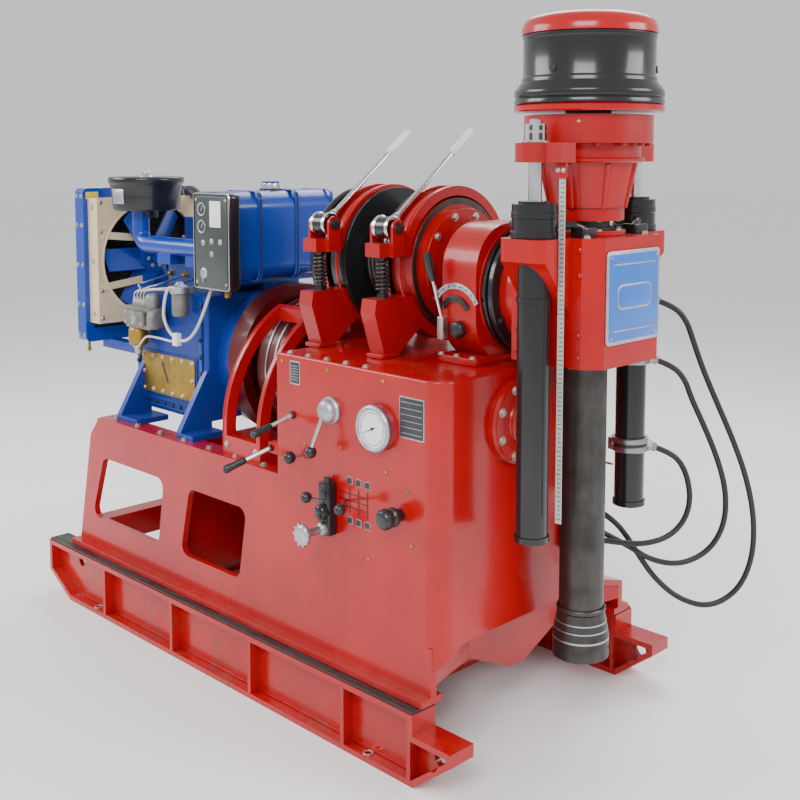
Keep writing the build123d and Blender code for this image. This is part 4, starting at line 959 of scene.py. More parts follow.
class RIG_OT_spindle(Piece, bpy.types.Operator):
    """Add the silver groove rings (partly bare metal, partly painted highlight), the spanner holes as dark
    plugs of painted shade, and two dark rings of the spindle
    """

    bl_idname = "rig.spindle"
    bl_label = "Spindle"

    def build(self, scene):
        s = Shape()
        # silver lips, partly bare metal and partly painted highlight: lighter than the spindle steel to give
        # the bright lines along the grooves
        for z, r, rise in ((0.2625, 0.0655, 0.0045), (0.285, 0.0622, 0.003), (0.303, 0.0590, 0.003)):
            s.ring((SPINDLE_X, 0, z), Z, r - 0.003, r + 0.0007, 0.0, rise, "silver", 0.0003, 56)
        s.ring((SPINDLE_X, 0, 0.2203), Z, 0.049, 0.0662, 0.0, 0.006, "dark_steel", 0.002, 56)
        s.ring((SPINDLE_X, 0, 0.327), Z, 0.0515, 0.0575, 0.0, 0.012, "dark_steel", 0.003, 56)
        # the spanner holes are short dark plugs: painted shade in the holes
        for x, y in around(4, 0.0662, 0.4):
            s.rod(
                (SPINDLE_X + x * 0.98, y * 0.98, 0.244), (SPINDLE_X + x * 1.003, y * 1.003, 0.244),
                0.006, "dark_inside",
            )
        s.piece("spindle_nut_details", "spindle")


# ---------------------------------------------------------------- spindle head


class RIG_OT_feed_glands(Piece, bpy.types.Operator):
    """Add the glands, clamp bolts, elbows and pipes on top of the feed cylinders"""

    bl_idname = "rig.feed_glands"
    bl_label = "Feed Glands"

    def build(self, scene):
        s = Shape()
        for side in (-1, 1):
            y = FEED_SPACING * side
            at = (SPINDLE_X, y, 0)
            s.ring(at, Z, 0.0165, 0.0525, 1.2105, 1.226, "black", 0.002, 48)
            s.ring(at, Z, 0.0165, 0.047, 1.226, 1.252, "black", 0.002, 48)
            s.ring(at, Z, 0.0165, 0.0515, 1.252, 1.268, "black", 0.002, 48)
            s.ring(at, Z, 0.0165, 0.034, 1.268, 1.2895, "black", 0.003, 48)
            s.ring(at, Z, 0.0360, 0.0395, 0.538, 0.552, "black", 0.001, 48)
            s.ring(at, Z, 0.0360, 0.0385, 1.070, 1.082, "black", 0.001, 48)
            s.bolts(
                [(SPINDLE_X + a, y + b, 1.268) for a, b in around(4, 0.0435, 0.8)], Z, 0.0062,
                "dark_steel",
            )
            s.rod((SPINDLE_X, y, 0.5372), (SPINDLE_X, y, 0.545), 0.022, "dark_steel")
            elbow = [
                (0.925, y - 0.036 * side, 1.2385),
                (0.938, y - 0.052 * side, 1.2385),
                (0.950, y - 0.070 * side, 1.236),
                (0.957, y - 0.090 * side, 1.228),
                (0.958, y - 0.105 * side, 1.219),
            ]
            s.tube(smooth_path(elbow, 6), 0.0085, "black", 14)
            s.block(
                (0.935, y - 0.090 * side - 0.02, 1.2098), (0.975, y - 0.090 * side + 0.03, 1.232),
                "black",
            )
            back = [
                (0.858, y, 1.2385), (0.835, y, 1.2385), (0.822, y - 0.02 * side, 1.236),
                (0.820, y - 0.07 * side, 1.224),
            ]
            s.tube(smooth_path(back, 6), 0.0085, "black", 14)
            s.block((0.806, y - 0.10 * side - 0.025, 1.2098), (0.836, y - 0.10 * side + 0.04, 1.235), "black")
        s.piece("feed_glands", "spindle_head")


class RIG_OT_head_details(Piece, bpy.types.Operator):
    """Add the spindle seal, cover bolts, swivel bolts and the blank badge of the spindle head"""

    bl_idname = "rig.head_details"
    bl_label = "Head Details"

    def build(self, scene):
        s = Shape()
        s.ring(SPINDLE, Z, 0.0535, 0.088, 1.2095, 1.221, "cast_red", 0.002, 56)
        s.ring(SPINDLE, Z, 0.0535, 0.064, 1.221, 1.228, "rubber", 0.001, 56)
        s.bolts([(SPINDLE_X + x, y, 1.221) for x, y in around(8, 0.076, 0.2)], Z, 0.0058)
        s.ring(SPINDLE, Z, 0.0535, 0.086, 0.914, 0.9255, "cast_red", 0.002, 56)
        s.bolts([(SPINDLE_X + x, y, 0.914) for x, y in around(8, 0.075, 0.2)], (0, 0, -1), 0.0058)
        corners = [
            (0.82, -0.115, 1.2098), (0.82, 0.115, 1.2098), (0.975, -0.112, 1.2098),
            (0.975, 0.112, 1.2098),
        ]
        s.bolts(corners, Z, 0.008)
        for z in (0.95, 1.0, 1.13, 1.185):
            s.bolts([(0.806, -0.1402, z), (0.978, -0.1402, z)], (0, -1, 0), 0.0065, "cast_red")
            s.bolts([(0.806, 0.1402, z)], (0, 1, 0), 0.0065, "cast_red")
        s.piece("head_bolts", "spindle_head")

        ring = Shape()
        at = (0.0, 0.0, SWIVEL_Z)
        ring.ring(at, X, 0.101, 0.1548, 0.7125, 0.723, "black", 0.002, 64)
        ring.ring(at, X, 0.101, 0.1440, 0.723, 0.731, "dark_steel", 0.001, 64)
        ring.ring(at, X, 0.101, 0.1548, 0.731, 0.7447, "black", 0.002, 64)
        for y, z in around(6, 0.1365, 0.5):
            ring.bolts([(0.7447, y, SWIVEL_Z + z)], X, 0.0085, "dark_steel", 0.006)
        ring.piece("swivel_clamp_ring", "spindle_head", ("swivel_ring",))

        badge = Shape()
        frame_outline = rounded([(-0.102, 0.976), (0.102, 0.976), (0.102, 1.182), (-0.102, 1.182)], 0.012, 6)
        badge.slab(frame_outline, (1.0203, 0, 0), Y, Z, 0.0045, "silver", 0.0015)
        inner = rounded([(-0.094, 0.984), (0.094, 0.984), (0.094, 1.174), (-0.094, 1.174)], 0.009, 6)
        badge.slab(inner, (1.0235, 0, 0), Y, Z, 0.0028, "badge", 0.0008)
        for low, high in (((-0.080, 1.150), (0.080, 1.1535)), ((-0.080, 1.0045), (0.080, 1.008))):
            line = rounded(
                [(low[0], low[1]), (high[0], low[1]), (high[0], high[1]), (low[0], high[1])], 0.001, 3,
            )
            badge.slab(line, (1.0260, 0, 0), Y, Z, 0.0012, "silver", 0.0004)
        panel = rounded([(-0.066, 1.052), (0.066, 1.052), (0.066, 1.108), (-0.066, 1.108)], 0.020, 7)
        badge.slab(panel, (1.0260, 0, 0), Y, Z, 0.0013, "silver", 0.0005)
        inset_panel = rounded([(-0.062, 1.056), (0.062, 1.056), (0.062, 1.104), (-0.062, 1.104)], 0.018, 7)
        badge.slab(inset_panel, (1.0268, 0, 0), Y, Z, 0.0010, "badge", 0.0003)
        screws = [(1.0262, y, z) for y in (-0.087, 0.087) for z in (0.991, 1.167)]
        for screw in screws:
            badge.turned(screw, X, [(0, 0), (0.0035, 0), (0.003, 0.0012), (0, 0.0015)], "zinc", 0.0, 14)
        badge.piece("head_badge", "spindle_head", ("badge_plate",))


class RIG_OT_hose_ends(Piece, bpy.types.Operator):
    """Add the clamp collars and hexagon nuts where the hoses leave the barrel and meet the housing"""

    bl_idname = "rig.hose_ends"
    bl_label = "Hose Ends"

    def build(self, scene):
        s = Shape()
        out = np.array((ROOT_HALF, ROOT_HALF, 0.0))
        slope = out * math.cos(DROOP) - np.array((0, 0, math.sin(DROOP)))
        for z in PORT_HEIGHTS:
            at = (BARREL[0], BARREL[1], z)
            s.ring(at, Z, 0.0362, 0.0452, -0.017, -0.003, "steel", 0.002, 48)
            s.ring(at, Z, 0.0362, 0.0452, 0.003, 0.017, "steel", 0.002, 48)
            s.ring(at, Z, 0.0362, 0.043, -0.003, 0.003, "dark_steel", 0.0005, 48)
            for start, r, run in ((0.028, 0.0105, 0.012), (0.040, 0.0142, 0.013), (0.053, 0.0105, 0.0128)):
                foot = np.array(hose_point(0.030, 0.0, z)) + slope * (start - 0.030)
                sides = 6 if r > 0.012 else 20
                s.disc(foot, slope, r, run, "zinc" if sides == 6 else "steel", 0.001, sides)
            back = np.array((-ROOT_HALF, -ROOT_HALF, 0.0))
            lug = np.array(at) + back * 0.040
            s.block(lug - (0.010, 0.010, 0.015), lug + (0.006, 0.006, 0.015), "steel", 0.003, 0.001)
        s.piece("hose_port_collars", "spindle_head", ("hose_ports",))

        f = Shape()
        f.block((0.7855, 0.060, 0.430), (0.8025, 0.160, 0.549), "black", 0.008, 0.002, 0)
        f.bolts([(0.8025, y, z) for y in (0.070, 0.150) for z in (0.440, 0.539)], X, 0.006)
        for reach, shift, z, droop in FITTING_ENDS:
            tilt = math.radians(droop)
            slope = out * math.cos(tilt) - np.array((0, 0, math.sin(tilt)))
            end = np.array(hose_point(reach, shift, z))
            for start, r, run, sides in (
                (0.034, 0.010, 0.012, 20), (0.022, 0.0142, 0.012, 6), (0.010, 0.0102, 0.0098, 20),
            ):
                f.turned(
                    end - slope * start, slope, [(0, 0), (r, 0), (r, run), (0, run)], "zinc", 0.001,
                    sides,
                )
        f.piece("hose_fitting_block", "carriage", ("hose_fittings",))


# ---------------------------------------------------------------- hoist

HOIST = (0.0, 0.0, HOIST_Z)
LEVER_HUB = (-0.216, 1.214)
BANDS = (0.235, 0.465)
LEVER_TILT = math.radians(38.0)


class RIG_OT_brake_bands(Piece, bpy.types.Operator):
    """Add the rims, clamp screws with springs, pins and bolts of the two brake bands"""

    bl_idname = "rig.brake_bands"
    bl_label = "Brake Bands"

    def build(self, scene):
        s = Shape()
        for x in BANDS:
            for offset in (-0.0242, 0.0242):
                s.ring((x, 0, HOIST_Z), X, 0.1955, 0.1966, offset - 0.0058, offset + 0.0058, "red", 0.002, 96)
            y = -0.232
            s.rod((x, y, 1.012), (x, y, 1.178), 0.0075, "dark_steel")
            s.bolts([(x, y, 1.044)], Z, 0.0145, "dark_steel", 0.012)
            s.bolts([(x, y, 1.1452)], (0, 0, -1), 0.0145, "dark_steel", 0.012)
            t = np.linspace(0.0, 1.0, 110)
            coil = np.stack(
                [
                    x + 0.0155 * np.cos(t * 7 * TAU),
                    y + 0.0155 * np.sin(t * 7 * TAU),
                    1.060 + 0.070 * t,
                ],
                1,
            )
            s.tube(coil, 0.0028, "dark_steel", 8)
            s.rod((x - 0.0415, *LEVER_HUB), (x + 0.0415, *LEVER_HUB), 0.0082, "dark_steel")
            s.bolts([(x + 0.0402, *LEVER_HUB)], X, 0.011, "dark_steel", 0.006)
            s.bolts([(x - 0.0402, *LEVER_HUB)], (-1, 0, 0), 0.011, "dark_steel", 0.006)
            s.bolts([(x + a, 0.2222, z) for a in (-0.015, 0.015) for z in (0.93, 1.0, 1.08)], Y, 0.0075)
            s.block((x - 0.029, -0.262, 0.9002), (x + 0.029, -0.200, 0.911), "cast_red", 0.006, 0.003)
            s.block((x - 0.029, 0.150, 0.9002), (x + 0.029, 0.228, 0.911), "cast_red", 0.006, 0.003)
        s.piece("brake_band_details", "carriage")


class RIG_OT_brake_levers(Piece, bpy.types.Operator):
    """Add the two brake levers: cam hub with bright rims, tapered rod and pale grip"""

    bl_idname = "rig.brake_levers"
    bl_label = "Brake Levers"

    def build(self, scene):
        along = np.array((0.0, math.cos(LEVER_TILT), math.sin(LEVER_TILT)))
        for x, node in zip(BANDS, ("hoist_lever_rear", "hoist_lever_front")):
            s = Shape()
            hub = np.array((x, *LEVER_HUB))
            for low, high in ((-0.0258, -0.0165), (0.0165, 0.0258)):
                s.ring(hub, X, 0.0084, 0.0298, low, high, "chrome", 0.0022, 48)
                s.ring(hub, X, 0.0084, 0.0225, low - 0.0001, high + 0.0001, "black", 0.0006, 40)
            s.ring(hub, X, 0.0084, 0.0265, -0.0165, 0.0165, "black", 0.001, 48)
            s.turned(
                hub + along * 0.018, along,
                [(0, 0), (0.0125, 0), (0.0115, 0.022), (0.0080, 0.030), (0, 0.030)], "steel", 0.001, 24,
            )
            reach = np.array([0.045, 0.12, 0.22, 0.291])
            s.tube(hub + reach[:, None] * along, [0.0068, 0.0066, 0.0062, 0.0062], "chrome", 20)
            grip = [
                (0, 0.290), (0.0085, 0.290), (0.0100, 0.297), (0.0104, 0.325), (0.0098, 0.355),
                (0.0104, 0.375), (0.0092, 0.384), (0, 0.385),
            ]
            s.turned(hub, along, grip, "ivory", 0.0, 28)
            s.piece(f"{node}_arm", node, (node,))


class RIG_OT_hoist_drums(Piece, bpy.types.Operator):
    """Add the hoist's drum rims, bolts, hub cover, shaft nut and rear disc"""

    bl_idname = "rig.hoist_drums"
    bl_label = "Hoist Drums"

    def build(self, scene):
        d = Shape()
        for x in (0.2745, 0.4145):
            d.ring((x, 0, HOIST_Z), X, 0.1830, 0.1884, -0.002, 0.0082, "black", 0.002, 96)
        t = np.linspace(0.0, 1.0, 900)
        rope = np.stack(
            [
                0.291 + 0.116 * t,
                0.117 * np.cos(t * 9 * TAU),
                HOIST_Z + 0.117 * np.sin(t * 9 * TAU),
            ],
            1,
        )
        d.tube(rope, 0.0062, "dark_steel", 8)
        for y, z in around(8, 0.142):
            d.bolts([(0.202, y, HOIST_Z + z)], (-1, 0, 0), 0.008, "dark_steel")
        d.piece("hoist_drum_details", "hoist_drum")

        w = Shape()
        at = (0.0, 0.0, HOIST_Z)
        w.ring(at, X, 0.150, 0.1662, 0.497, 0.5005, "dark_steel", 0.001, 96)
        w.ring(at, X, 0.110, 0.1410, 0.5215, 0.5245, "red", 0.001, 80)
        w.bolts([(0.5245, y, HOIST_Z + z) for y, z in around(10, 0.125)], X, 0.0085)
        w.ring(at, X, 0.0325, 0.0785, 0.575, 0.588, "black", 0.003, 64)
        w.piece("lift_wheel_details", "lift_wheel")

        r = Shape()
        cap = [
            (0, 0.136), (0.150, 0.136), (0.186, 0.142), (0.190, 0.150), (0.190, 0.158), (0.184, 0.163),
            (0, 0.163),
        ]
        r.turned(HOIST, X, cap, "black", 0.002, 80)
        r.turned(HOIST, X, [(0, 0.128), (0.040, 0.128), (0.044, 0.136), (0, 0.137)], "black", 0.002, 40)
        r.bolts(
            [(0.1365, y, HOIST_Z + z) for y, z in around(6, 0.120, 0.3)], (-1, 0, 0), 0.0085,
            "dark_steel",
        )
        r.rod((0.160, 0, HOIST_Z), (0.176, 0, HOIST_Z), 0.060, "black")
        r.bolts([(0.192, y, 0.925) for y in (-0.1, 0.1)], X, 0.009)
        r.piece("hoist_rear_disc", "carriage")


class RIG_OT_pedestal(Piece, bpy.types.Operator):
    """Add the swivel scale, lever with its knob, base flange and bolts of the head pedestal"""

    bl_idname = "rig.pedestal"
    bl_label = "Head Pedestal"

    def build(self, scene):
        s = Shape()
        s.block((0.590, -0.178, 0.9), (0.716, 0.178, 0.918), "cast_red", 0.014, 0.003)
        places = [(x, y, 0.918) for x in (0.604, 0.653, 0.702) for y in (-0.171, 0.171)]
        s.bolts(places, Z, 0.0082)
        s.ring((0.0, 0.0, SWIVEL_Z), X, 0.100, 0.156, 0.7055, 0.7095, "cast_red", 0.001, 72)
        angle = np.linspace(math.radians(28), math.radians(152), 26)
        centre = np.array((0.643, 1.010))
        for low, high, tone, depth in ((0.066, 0.080, "silver", 0.0016), (0.036, 0.050, "plastic", 0.006)):
            outer = centre + high * np.stack([np.cos(angle), np.sin(angle)], 1)
            inner = centre + low * np.stack([np.cos(angle), np.sin(angle)], 1)
            s.slab(np.concatenate([outer, inner[::-1]]), (0, -0.1648, 0), X, Z, depth, tone, 0.0005)
        for a in angle[1:-1:3]:
            mark = centre + 0.073 * np.array((math.cos(a), math.sin(a)))
            s.disc((mark[0], -0.1662, mark[1]), OUT, 0.0024, 0.0006, "ink", 0.0, 10)
        s.near_plate((0.600, 0.954), (0.620, 1.008), -0.1645, 0.020, "zinc", 0.004, 0.002)
        s.turned(
            (0.655, -0.1648, 0.981), OUT,
            [(0, 0), (0.0205, 0), (0.0205, 0.010), (0.0175, 0.016), (0, 0.0165)], "plastic", 0.001, 36,
        )
        s.rod((0.612, -0.175, 0.990), (0.598, -0.196, 1.095), 0.0042, "chrome")
        s.tube(
            [(0.598, -0.196, 1.093), (0.594, -0.200, 1.120), (0.584, -0.204, 1.160)],
            [0.0075, 0.0115, 0.0095], "plastic", 18,
        )
        s.piece("pedestal_details", "carriage")


# ---------------------------------------------------------------- panel controls

PANEL = -0.3695
COVER = (-0.110, 0.778)
COVER_R = 0.100
COVER_RISE = 0.018
OUT = (0.0, -1.0, 0.0)


def box_outline(low, high, radius=0.003, steps=3):
    """A rounded rectangle between two corners."""
    corners = [(low[0], low[1]), (high[0], low[1]), (high[0], high[1]), (low[0], high[1])]
    return rounded(corners, radius, steps)


class RIG_OT_gauge(Piece, bpy.types.Operator):
    """Add the pressure gauge: stepped bright bezel, pale dial, marks and needle"""

    bl_idname = "rig.gauge"
    bl_label = "Pressure Gauge"

    def build(self, scene):
        s = Shape()
        at = (0.593, PANEL, 0.771)
        case = [
            (0, 0), (0.050, 0), (0.050, 0.011), (0.0548, 0.013), (0.0548, 0.0195), (0.050, 0.0244),
            (0.0455, 0.0244), (0.0445, 0.0190), (0, 0.0190),
        ]
        s.turned(at, OUT, case, "silver", 0.0008, 72)
        s.disc((0.593, -0.3880, 0.771), OUT, 0.0440, 0.0012, "white", 0.0003, 56)
        s.ring((0.593, -0.3890, 0.771), OUT, 0.0375, 0.0385, 0, 0.0006, "ink", 0.0001, 56)
        for i in range(31):
            a = math.radians(225 - 9 * i)
            low = 0.0310 if i % 5 == 0 else 0.0345
            radial = np.array((math.cos(a), math.sin(a)))
            across = np.array((-radial[1], radial[0])) * (0.0007 if i % 5 == 0 else 0.0004)
            mark = [
                radial * low - across, radial * 0.0378 - across, radial * 0.0378 + across,
                radial * low + across,
            ]
            s.slab(np.array(mark) + (0.593, 0.771), (0, -0.3889, 0), X, Z, 0.0006, "ink", 0.0001)
        a = math.radians(205)
        radial = np.array((math.cos(a), math.sin(a)))
        across = np.array((-radial[1], radial[0]))
        needle = [
            radial * -0.010 - across * 0.0014, radial * 0.033 - across * 0.0003,
            radial * 0.033 + across * 0.0003, radial * -0.010 + across * 0.0014,
        ]
        s.slab(np.array(needle) + (0.593, 0.771), (0, -0.3900, 0), X, Z, 0.0006, "ink", 0.0001)
        s.turned(
            (0.593, -0.3895, 0.771), OUT, [(0, 0), (0.004, 0), (0.003, 0.002), (0, 0.0024)], "ink", 0.0,
            20,
        )
        s.piece("gauge", "carriage", ("pressure_gauge",))


class RIG_OT_panel_controls(Piece, bpy.types.Operator):
    """Add the control valve, its handwheel and ball levers, the clutch hub lever and the stop knob"""

    bl_idname = "rig.panel_controls"
    bl_label = "Panel Controls"

    def build(self, scene):
        s = Shape()
        s.block((0.4125, -0.3985, 0.487), (0.4515, -0.3695, 0.614), "black", 0.007, 0.003)
        s.turned(
            (0.432, -0.372, 0.545), OUT,
            [(0, 0), (0.0195, 0), (0.0195, 0.036), (0.013, 0.0435), (0, 0.044)], "black", 0.003, 36,
        )
        s.turned(
            (0.432, -0.384, 0.596), Z,
            [(0, 0), (0.0165, 0), (0.0165, 0.012), (0.010, 0.016), (0.010, 0.029), (0, 0.0295)],
            "dark_steel", 0.001, 24,
        )
        s.turned(
            (0.432, -0.398, 0.503), OUT,
            [(0, 0), (0.018, 0), (0.016, 0.010), (0.0092, 0.014), (0.0092, 0.052), (0, 0.052)], "steel",
            0.001, 28,
        )
        wheel = [
            (0, 0), (0.014, 0.0), (0.0175, 0.003), (0.0255, 0.005), (0.0258, 0.013), (0.021, 0.018),
            (0.010, 0.0196), (0, 0.0196),
        ]
        s.turned((0.432, -0.452, 0.503), OUT, wheel, "silver", 0.001, 40)
        for x, z in around(10, 0.0256):
            s.rod(
                (0.432 + x, -0.4585, 0.503 + z), (0.432 + x, -0.4685, 0.503 + z), 0.0028, "silver",
                0.0006, 10,
            )
        for foot, tip in (
            ((0.432, -0.398, 0.570), (0.420, -0.440, 0.586)),
            ((0.4800, -0.371, 0.577), (0.539, -0.440, 0.583)),
        ):
            s.rod(foot, tip, 0.0038, "steel", 0.0005, 12)
            s.ball(tip, 0.0135, "plastic")
        for x in (0.497, 0.527, 0.557):
            # the slots are thin dark strips of painted shade
            s.near_plate((x - 0.002, 0.548), (x + 0.002, 0.612), PANEL, 0.0008, "dark_inside", 0.0015, 0.0002)
            for z in (0.628, 0.532):
                s.near_plate(
                    (x - 0.0095, z - 0.009), (x + 0.0095, z + 0.009), PANEL, 0.0016, "silver", 0.0015,
                    0.0004,
                )
                s.near_plate(
                    (x - 0.0078, z - 0.0073), (x + 0.0078, z + 0.0073), PANEL - 0.001, 0.0011, "ink",
                    0.001, 0.0003,
                )
        for z in (0.596, 0.580, 0.564):
            s.near_plate((0.458, z - 0.0012), (0.560, z + 0.0012), PANEL, 0.0009, "dark_red", 0.001, 0.0002)
        knob = [
            (0, 0), (0.0150, 0), (0.0150, 0.018), (0.0225, 0.022), (0.0228, 0.030), (0.0180, 0.034),
            (0.0180, 0.038), (0.0226, 0.042), (0.0228, 0.054), (0.0180, 0.0610), (0, 0.0612),
        ]
        s.turned((0.664, PANEL, 0.584), OUT, knob, "plastic", 0.0008, 40)
        for x, z in around(14, 0.0222):
            s.rod(
                (0.664 + x, -0.413, 0.584 + z), (0.664 + x, -0.4235, 0.584 + z), 0.0020, "plastic",
                0.0004, 8,
            )
        hub = [
            (0, 0), (0.0335, 0), (0.0335, 0.006), (0.0290, 0.010), (0.0270, 0.020), (0.0200, 0.027),
            (0.008, 0.0295), (0, 0.0296),
        ]
        s.turned((0.431, PANEL, 0.785), OUT, hub, "silver", 0.0008, 44)
        arm = [
            (0.431, -0.394, 0.778), (0.4275, -0.404, 0.752), (0.422, -0.414, 0.722),
            (0.416, -0.420, 0.696),
        ]
        s.tube(smooth_path(arm, 5), 0.0052, "chrome", 14)
        s.ball((0.415, -0.421, 0.690), 0.0145, "plastic")
        s.rod((0.318, PANEL, 0.655), (0.312, -0.394, 0.653), 0.0042, "steel", 0.0005, 12)
        s.ball((0.311, -0.400, 0.653), 0.0155, "plastic")
        s.piece("valve_and_knobs", "carriage", ("panel_controls",))


class RIG_OT_shift_levers(Piece, bpy.types.Operator):
    """Add the two gear-shift levers: bright rods, ribbed black grips and their bracket"""

    bl_idname = "rig.shift_levers"
    bl_label = "Shift Levers"

    def build(self, scene):
        s = Shape()
        for foot, tip in (
            ((0.290, -0.370, 0.751), (0.262, -0.478, 0.712)),
            ((0.202, -0.370, 0.652), (0.144, -0.478, 0.602)),
        ):
            foot = np.array(foot)
            tip = np.array(tip)
            axis = (tip - foot) / np.linalg.norm(tip - foot)
            size = np.linalg.norm(tip - foot)
            s.tube(
                [foot, foot + axis * 0.03, foot + axis * size * 0.6], [0.0062, 0.0058, 0.0055],
                "chrome", 16,
            )
            low = size * 0.52
            grip = [
                (0, low), (0.0062, low), (0.0085, low + 0.006), (0.0090, size - 0.026),
                (0.0108, size - 0.014), (0.0100, size - 0.004), (0.005, size), (0, size),
            ]
            s.turned(foot, axis, grip, "plastic", 0.001, 24)
            for k in range(4):
                s.ring(
                    foot, axis, 0.0080, 0.0096, low + 0.010 + 0.006 * k, low + 0.0125 + 0.006 * k,
                    "plastic", 0.0006, 20,
                )
            s.turned(
                foot, axis, [(0, 0), (0.0100, 0), (0.0090, 0.006), (0, 0.0065)], "dark_steel", 0.0008,
                20,
            )
        s.block((0.1885, -0.3695, 0.6375), (0.2285, -0.3405, 0.6665), "red", 0.005, 0.002)
        s.piece("shift_lever_rods", "carriage", ("shift_levers",))


class RIG_OT_panel_plates(Piece, bpy.types.Operator):
    """Add the blank plates and small bolts of the housing, its front cover and deck seams"""

    bl_idname = "rig.panel_plates"
    bl_label = "Panel Plates"

    def build(self, scene):
        s = Shape()
        for low, high in (((0.2800, 0.828), (0.3180, 0.886)), ((0.6620, 0.762), (0.7390, 0.856))):
            s.slab(box_outline(low, high, 0.003), (0, PANEL, 0), X, Z, 0.0016, "silver", 0.0005)
            inner_low = (low[0] + 0.0028, low[1] + 0.0028)
            inner_high = (high[0] - 0.0028, high[1] - 0.0028)
            s.slab(
                box_outline(inner_low, inner_high, 0.002), (0, PANEL - 0.001, 0), X, Z, 0.0012, "ink",
                0.0003,
            )
            for z in np.linspace(low[1] + 0.012, high[1] - 0.012, 6):
                s.near_plate(
                    (low[0] + 0.006, z - 0.0006), (high[0] - 0.006, z + 0.0006), PANEL - 0.002, 0.0006,
                    "silver", 0.0004, 0.0001,
                )
        small = [
            (0.335, 0.686), (0.465, 0.700), (0.620, 0.672), (0.352, 0.560), (0.700, 0.520),
            (0.343, 0.455), (0.560, 0.455), (0.690, 0.640), (0.250, 0.880), (0.610, 0.880),
            (0.420, 0.880),
        ]
        for x, z in small:
            s.turned(
                (x, PANEL, z), OUT,
                [(0, 0), (0.0052, 0), (0.0052, 0.002), (0.0030, 0.0042), (0, 0.0044)], "brass", 0.0004,
                16,
            )
        y, z = COVER
        s.ring(
            (0.0, y, z), X, COVER_R - 0.028, COVER_R - 0.006, 0.7845 + COVER_RISE, 0.7885 + COVER_RISE,
            "cast_red", 0.002, 72,
        )
        s.turned(
            (0.784 + COVER_RISE, y, z), X,
            [(0, 0), (0.052, 0), (0.048, 0.008), (0.030, 0.012), (0, 0.0125)], "cast_red", 0.002, 48,
        )
        s.bolts([(0.7885 + COVER_RISE, y + a, z + b) for a, b in around(8, COVER_R - 0.017, 0.39)], X, 0.0085)
        for x in np.arange(0.262, 0.56, 0.068):
            s.bolts([(x, -0.352, 0.9005)], Z, 0.0075)
        for y in (-0.31, -0.05, 0.12):
            s.bolts([(0.2275, y, 0.86), (0.2275, y, 0.72)], (-1, 0, 0), 0.008)
        s.piece("panel_plates", "carriage")


# ---------------------------------------------------------------- engine


class RIG_OT_engine_block(Piece, bpy.types.Operator):
    """Add the brass side cover, crankcase ribs, sump flange and bolts of the engine block"""

    bl_idname = "rig.engine_block"
    bl_label = "Engine Block"

    def build(self, scene):
        s = Shape()
        near = ENGINE_NEAR
        s.near_plate((-0.575, 0.6655), (-0.286, 0.8005), near, 0.0040, "cast_blue", 0.010, 0.001, 4)
        s.near_plate((-0.569, 0.6715), (-0.292, 0.7945), near - 0.0035, 0.0055, "brass", 0.008, 0.0015, 4)
        for x in np.linspace(-0.558, -0.303, 6):
            s.bolts([(x, near - 0.009, z) for z in (0.681, 0.785)], OUT, 0.0062)
        s.bolts([(x, near - 0.009, 0.733) for x in (-0.558, -0.303)], OUT, 0.0062)
        slash = [(-0.462, 0.770), (-0.455, 0.771), (-0.425, 0.712), (-0.432, 0.710)]
        s.slab(slash, (0, near - 0.009, 0), X, Z, 0.0012, "ink", 0.0003)
        for z in (0.634, 0.654):
            s.near_plate((-0.596, z - 0.004), (-0.244, z + 0.004), near, 0.0055, "cast_blue", 0.003, 0.002)
        for x in np.linspace(-0.585, -0.255, 9):
            s.bolts([(x, near - 0.0005, 0.644)], OUT, 0.0065, "dark_steel")
        for x in (-0.5995, -0.272):
            s.near_plate((x, 0.69), (x + 0.014, 0.975), near, 0.006, "cast_blue", 0.005, 0.002)
        for z in np.linspace(0.71, 0.955, 6):
            s.bolts([(-0.5925, near - 0.006, z), (-0.265, near - 0.006, z)], OUT, 0.006, "dark_steel")
        s.piece("block_details", "carriage")


class RIG_OT_injection(Piece, bpy.types.Operator):
    """Add the injection pump with its delivery pipes, unions and governor"""

    bl_idname = "rig.injection"
    bl_label = "Injection Pump"

    def build(self, scene):
        s = Shape()
        s.block((-0.5745, -0.3105, 0.872), (-0.4455, -0.2505, 0.938), "cast_grey", 0.008, 0.003)
        s.block((-0.5600, -0.3235, 0.884), (-0.4600, -0.3095, 0.926), "cast_grey", 0.006, 0.002)
        s.turned(
            (-0.540, -0.287, 0.816), Z,
            [(0, 0), (0.022, 0), (0.0295, 0.008), (0.0295, 0.048), (0.024, 0.058), (0, 0.0595)],
            "brass", 0.002, 32,
        )
        s.turned(
            (-0.460, -0.287, 0.935), Z,
            [(0, 0), (0.0215, 0), (0.0215, 0.034), (0.015, 0.044), (0, 0.0445)], "cast_grey", 0.002, 28,
        )
        s.turned(
            (-0.4455, -0.287, 0.905), X,
            [(0, 0), (0.0325, 0), (0.0325, 0.012), (0.024, 0.0195), (0, 0.0205)], "cast_grey", 0.002,
            32,
        )
        for i, x in enumerate((-0.562, -0.545, -0.528, -0.511)):
            s.turned(
                (x, -0.283, 0.937), Z,
                [(0, 0), (0.0072, 0), (0.0072, 0.012), (0.0052, 0.018), (0.0052, 0.024), (0, 0.0245)],
                "zinc", 0.0008, 14,
            )
            head = -0.563 + 0.076 * i
            route = [
                (x, -0.283, 0.958), (x, -0.283, 0.972), (x + 0.02, -0.276, 0.985),
                (head - 0.01, -0.262, 0.996), (head, -0.235, 1.003), (head, -0.180, 1.015),
                (head, -0.152, 1.022),
            ]
            s.tube(smooth_path(route, 6), 0.0030, "zinc", 10)
            s.bolts([(head, -0.1505, 1.0225)], OUT, 0.0085, "brass", 0.010)
        s.bolts([(x, -0.3235, z) for x in (-0.552, -0.510, -0.468) for z in (0.890, 0.920)], OUT, 0.0048)
        s.turned(
            (-0.510, -0.3230, 0.905), OUT, [(0, 0), (0.012, 0), (0.012, 0.0006), (0, 0.0008)], "silver",
            0.0, 24,
        )
        s.piece("injection_pump_body", "carriage", ("injection_pump",))


